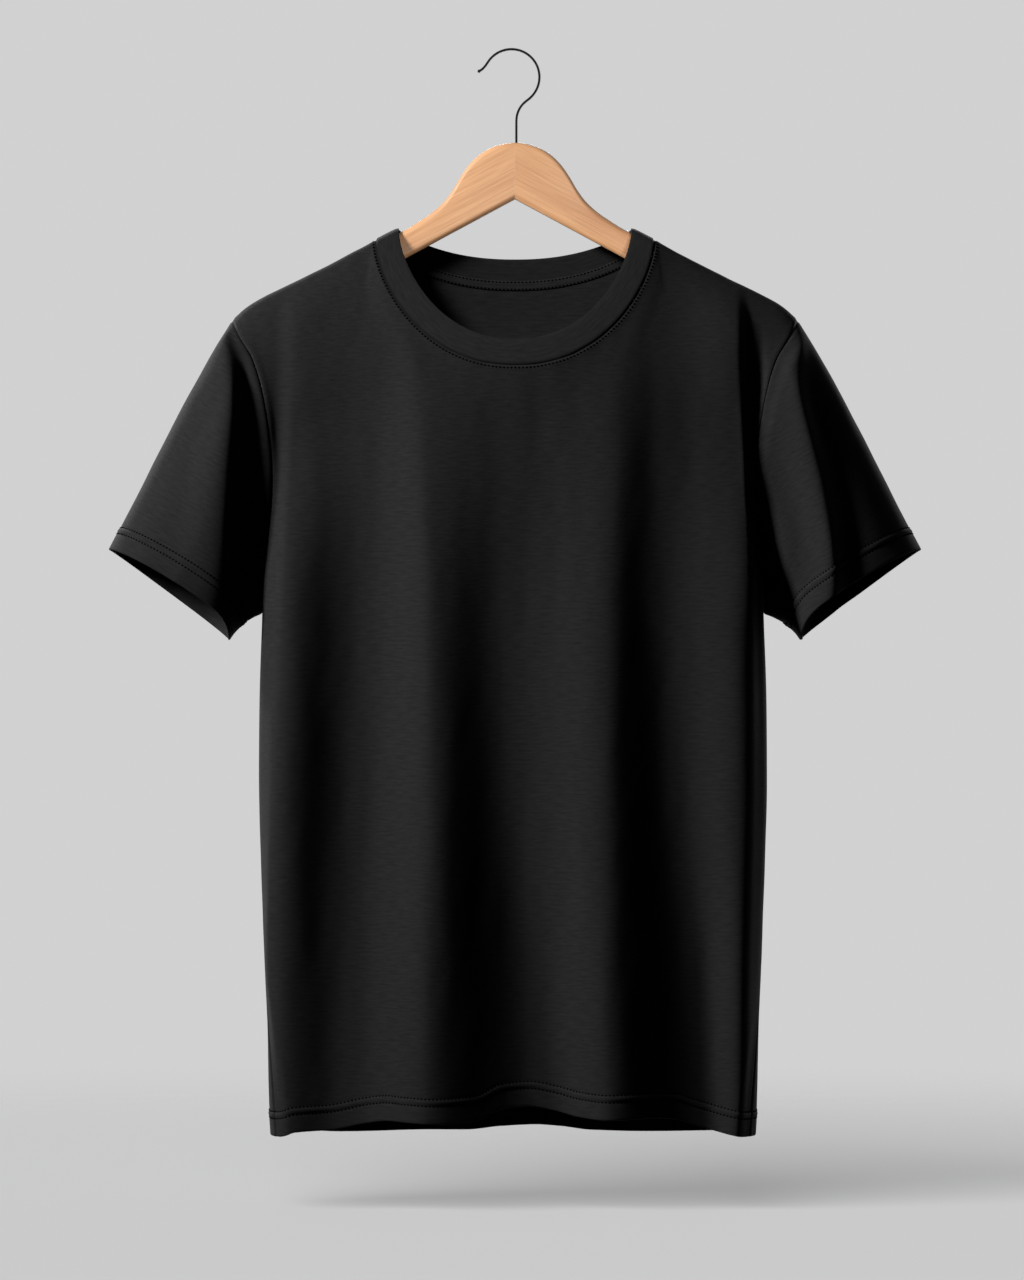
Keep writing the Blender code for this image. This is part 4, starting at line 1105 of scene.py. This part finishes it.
def floor_material():
    """A pale floor that fades into the background away from its middle."""
    made, tree, shader = new_material("pale_floor")
    spread = add_node(tree, "VectorMath", {0: add_node(tree, "TexCoord").outputs["Object"]})
    spread.operation = "LENGTH"
    fade = add_node(tree, "MapRange", {
        "From Min": 1.0, "From Max": 2.1, "To Min": 0.52, "To Max": 0.0, "Value": spread.outputs["Value"],
    })
    fade.interpolation_type = "SMOOTHSTEP"
    set_inputs(tree, shader, {
        "Alpha": fade.outputs["Result"],
        "Base Color": (0.62, 0.62, 0.625, 1),
        "Roughness": 0.9,
    })
    return made


# ---- Scene ----
def build_floor():
    size = 2200.0
    ticks = np.linspace(-size, size, 9)
    x, y = np.meshgrid(ticks, ticks)
    points = np.stack([x, y, np.zeros_like(x)], axis=-1)
    floor = grid_object("floor", points, np.zeros((9, 10, 2)), False, False)
    floor.location.z = FLOOR_LEVEL * MM
    floor.data.materials.append(floor_material())
    floor.visible_diffuse = False
    floor.visible_glossy = False
    return floor


def build_world():
    world = bpy.data.worlds.new("studio")
    bpy.context.scene.world = world
    world.use_nodes = True
    tree = world.node_tree
    seen = tree.nodes["Background"]
    set_inputs(tree, seen, {"Color": (0.638, 0.638, 0.642, 1), "Strength": 1.0})
    fill = add_node(tree, "Background", {"Color": grey(1), "Strength": 0.015})
    split = add_node(tree, "SeparateXYZ", {"Vector": add_node(tree, "TexCoord").outputs["Generated"]})
    bright = add_node(tree, "MapRange", {
        "From Min": -0.3, "From Max": 0.1, "To Min": 0.02, "To Max": 0.9, "Value": split.outputs["Y"],
    })
    room = add_node(tree, "Background", {"Strength": bright.outputs["Result"]})
    ray = add_node(tree, "LightPath").outputs
    unseen = add_node(tree, "MixShader", {
        "Fac": ray["Is Glossy Ray"], 1: fill.outputs["Background"], 2: room.outputs["Background"],
    })
    all_rays = add_node(tree, "MixShader", {
        "Fac": ray["Is Camera Ray"], 1: unseen.outputs["Shader"], 2: seen.outputs["Background"],
    })
    set_inputs(tree, tree.nodes["World Output"], {"Surface": all_rays.outputs["Shader"]})


def add_object(name, data):
    made = bpy.data.objects.new(name, data)
    bpy.context.scene.collection.objects.link(made)
    return made


def add_light(name, place, aim, size, power):
    data = bpy.data.lights.new(name, "AREA")
    data.shape = "RECTANGLE"
    data.size = data.size_y = size
    data.energy = power
    made = add_object(name, data)
    made.location = place
    point_light(made, Vector(aim) - Vector(place))
    return made


def point_light(light, way):
    light.rotation_mode = "QUATERNION"
    light.rotation_quaternion = way.to_track_quat("-Z", "Y")


def light_place(azimuth, elevation, distance):
    """A place round the shirt's middle, at degrees to the left of the front and above the level."""
    turn, rise = math.radians(azimuth), math.radians(elevation)
    way = Vector((-math.sin(turn) * math.cos(rise), -math.cos(turn) * math.cos(rise), math.sin(rise)))
    return Vector(SHIRT_CENTRE) + way * distance


def shine_on(light, pieces, state):
    """Lights these pieces only (INCLUDE), or all but these (EXCLUDE)."""
    group = bpy.data.collections.new("lit_by_" + light.name)
    for piece in pieces:
        group.objects.link(piece)
    for entry in group.collection_objects:
        entry.light_linking.link_state = state
    light.light_linking.receiver_collection = group


def build_lights(floor, arms, hook, inside):
    others = [floor, hook, *arms]
    # name, place (degrees to the left and up, metres), aim, size in metres, power, and the pieces that it
    # alone lights (INCLUDE) or leaves out (EXCLUDE)
    rows = (
        ("key", (66, 28, 4), (0.12, 0, -0.42), 0.7, KEY_POWER, [*others, *inside], "EXCLUDE"),
        ("back_key", (150, 35, 6), SHIRT_CENTRE, 1.2, 500, others, "EXCLUDE"),
        ("back_fill", (-155, 25, 6), SHIRT_CENTRE, 1.6, 170, others, "EXCLUDE"),
        ("hanger_key", (58, 20, 5), HANGER_AIM, 1.2, 365, arms, "INCLUDE"),
        ("hanger_back", (180, 20, 5), HANGER_AIM, 1.2, 90, arms, "INCLUDE"),
        ("hanger_fill", (-20, 0, 5), HANGER_AIM, 1.5, 90, arms, "INCLUDE"),
        ("neck_key", (36, 30, 5), (0, 0, -0.2), 1.0, 390, inside, "INCLUDE"),
    )
    for name, place, aim, size, power, pieces, state in rows:
        light = add_light(name, light_place(*place), aim, size, power)
        shine_on(light, pieces, state)
        if name == "key":
            light.data.spread = KEY_SPREAD
    above = bpy.data.lights.new("above", "SUN")
    above.energy = 6.75
    above.angle = math.radians(64)
    sun = add_object("above", above)
    point_light(sun, Vector((1.3, 2.0, -1.0)))
    shine_on(sun, [floor], "INCLUDE")


def build_camera():
    data = bpy.data.cameras.new("camera")
    data.sensor_width = SENSOR
    data.lens = SENSOR * CAMERA_DISTANCE / VIEW_HEIGHT
    data.clip_end = 100
    camera = add_object("camera", data)
    camera.location = (0, -CAMERA_DISTANCE * MM, CAMERA_UP * MM)
    camera.rotation_euler = (math.radians(90), 0, 0)
    bpy.context.scene.camera = camera


def main():
    bpy.context.scene.view_settings.view_transform = "Standard"
    looks = {
        "jersey": jersey_material("black_jersey", 0.0115, (0.9, 0.7)),
        "rib": jersey_material("black_rib", 0.0115, (1.3, 0.7)),
        "tape": jersey_material("black_tape", 0.0135, (0.8, 0.8)),
        "thread": thread_painted_shade_material(),
        "beech": beech_material(),
        "steel": steel_material(),
    }
    pieces, neckband, tape, tape_rows = build_shirt(looks)
    stitched = build_stitches(pieces, tape_rows, looks)
    arms = build_hanger(looks)
    hook = build_hook(looks)
    declare_sheets(pieces, neckband, tape)
    inside = [neckband, tape, stitched["neck_tape"], pieces["back_panel"][2]]
    floor = build_floor()
    build_world()
    build_lights(floor, arms, hook, inside)
    build_camera()


main()
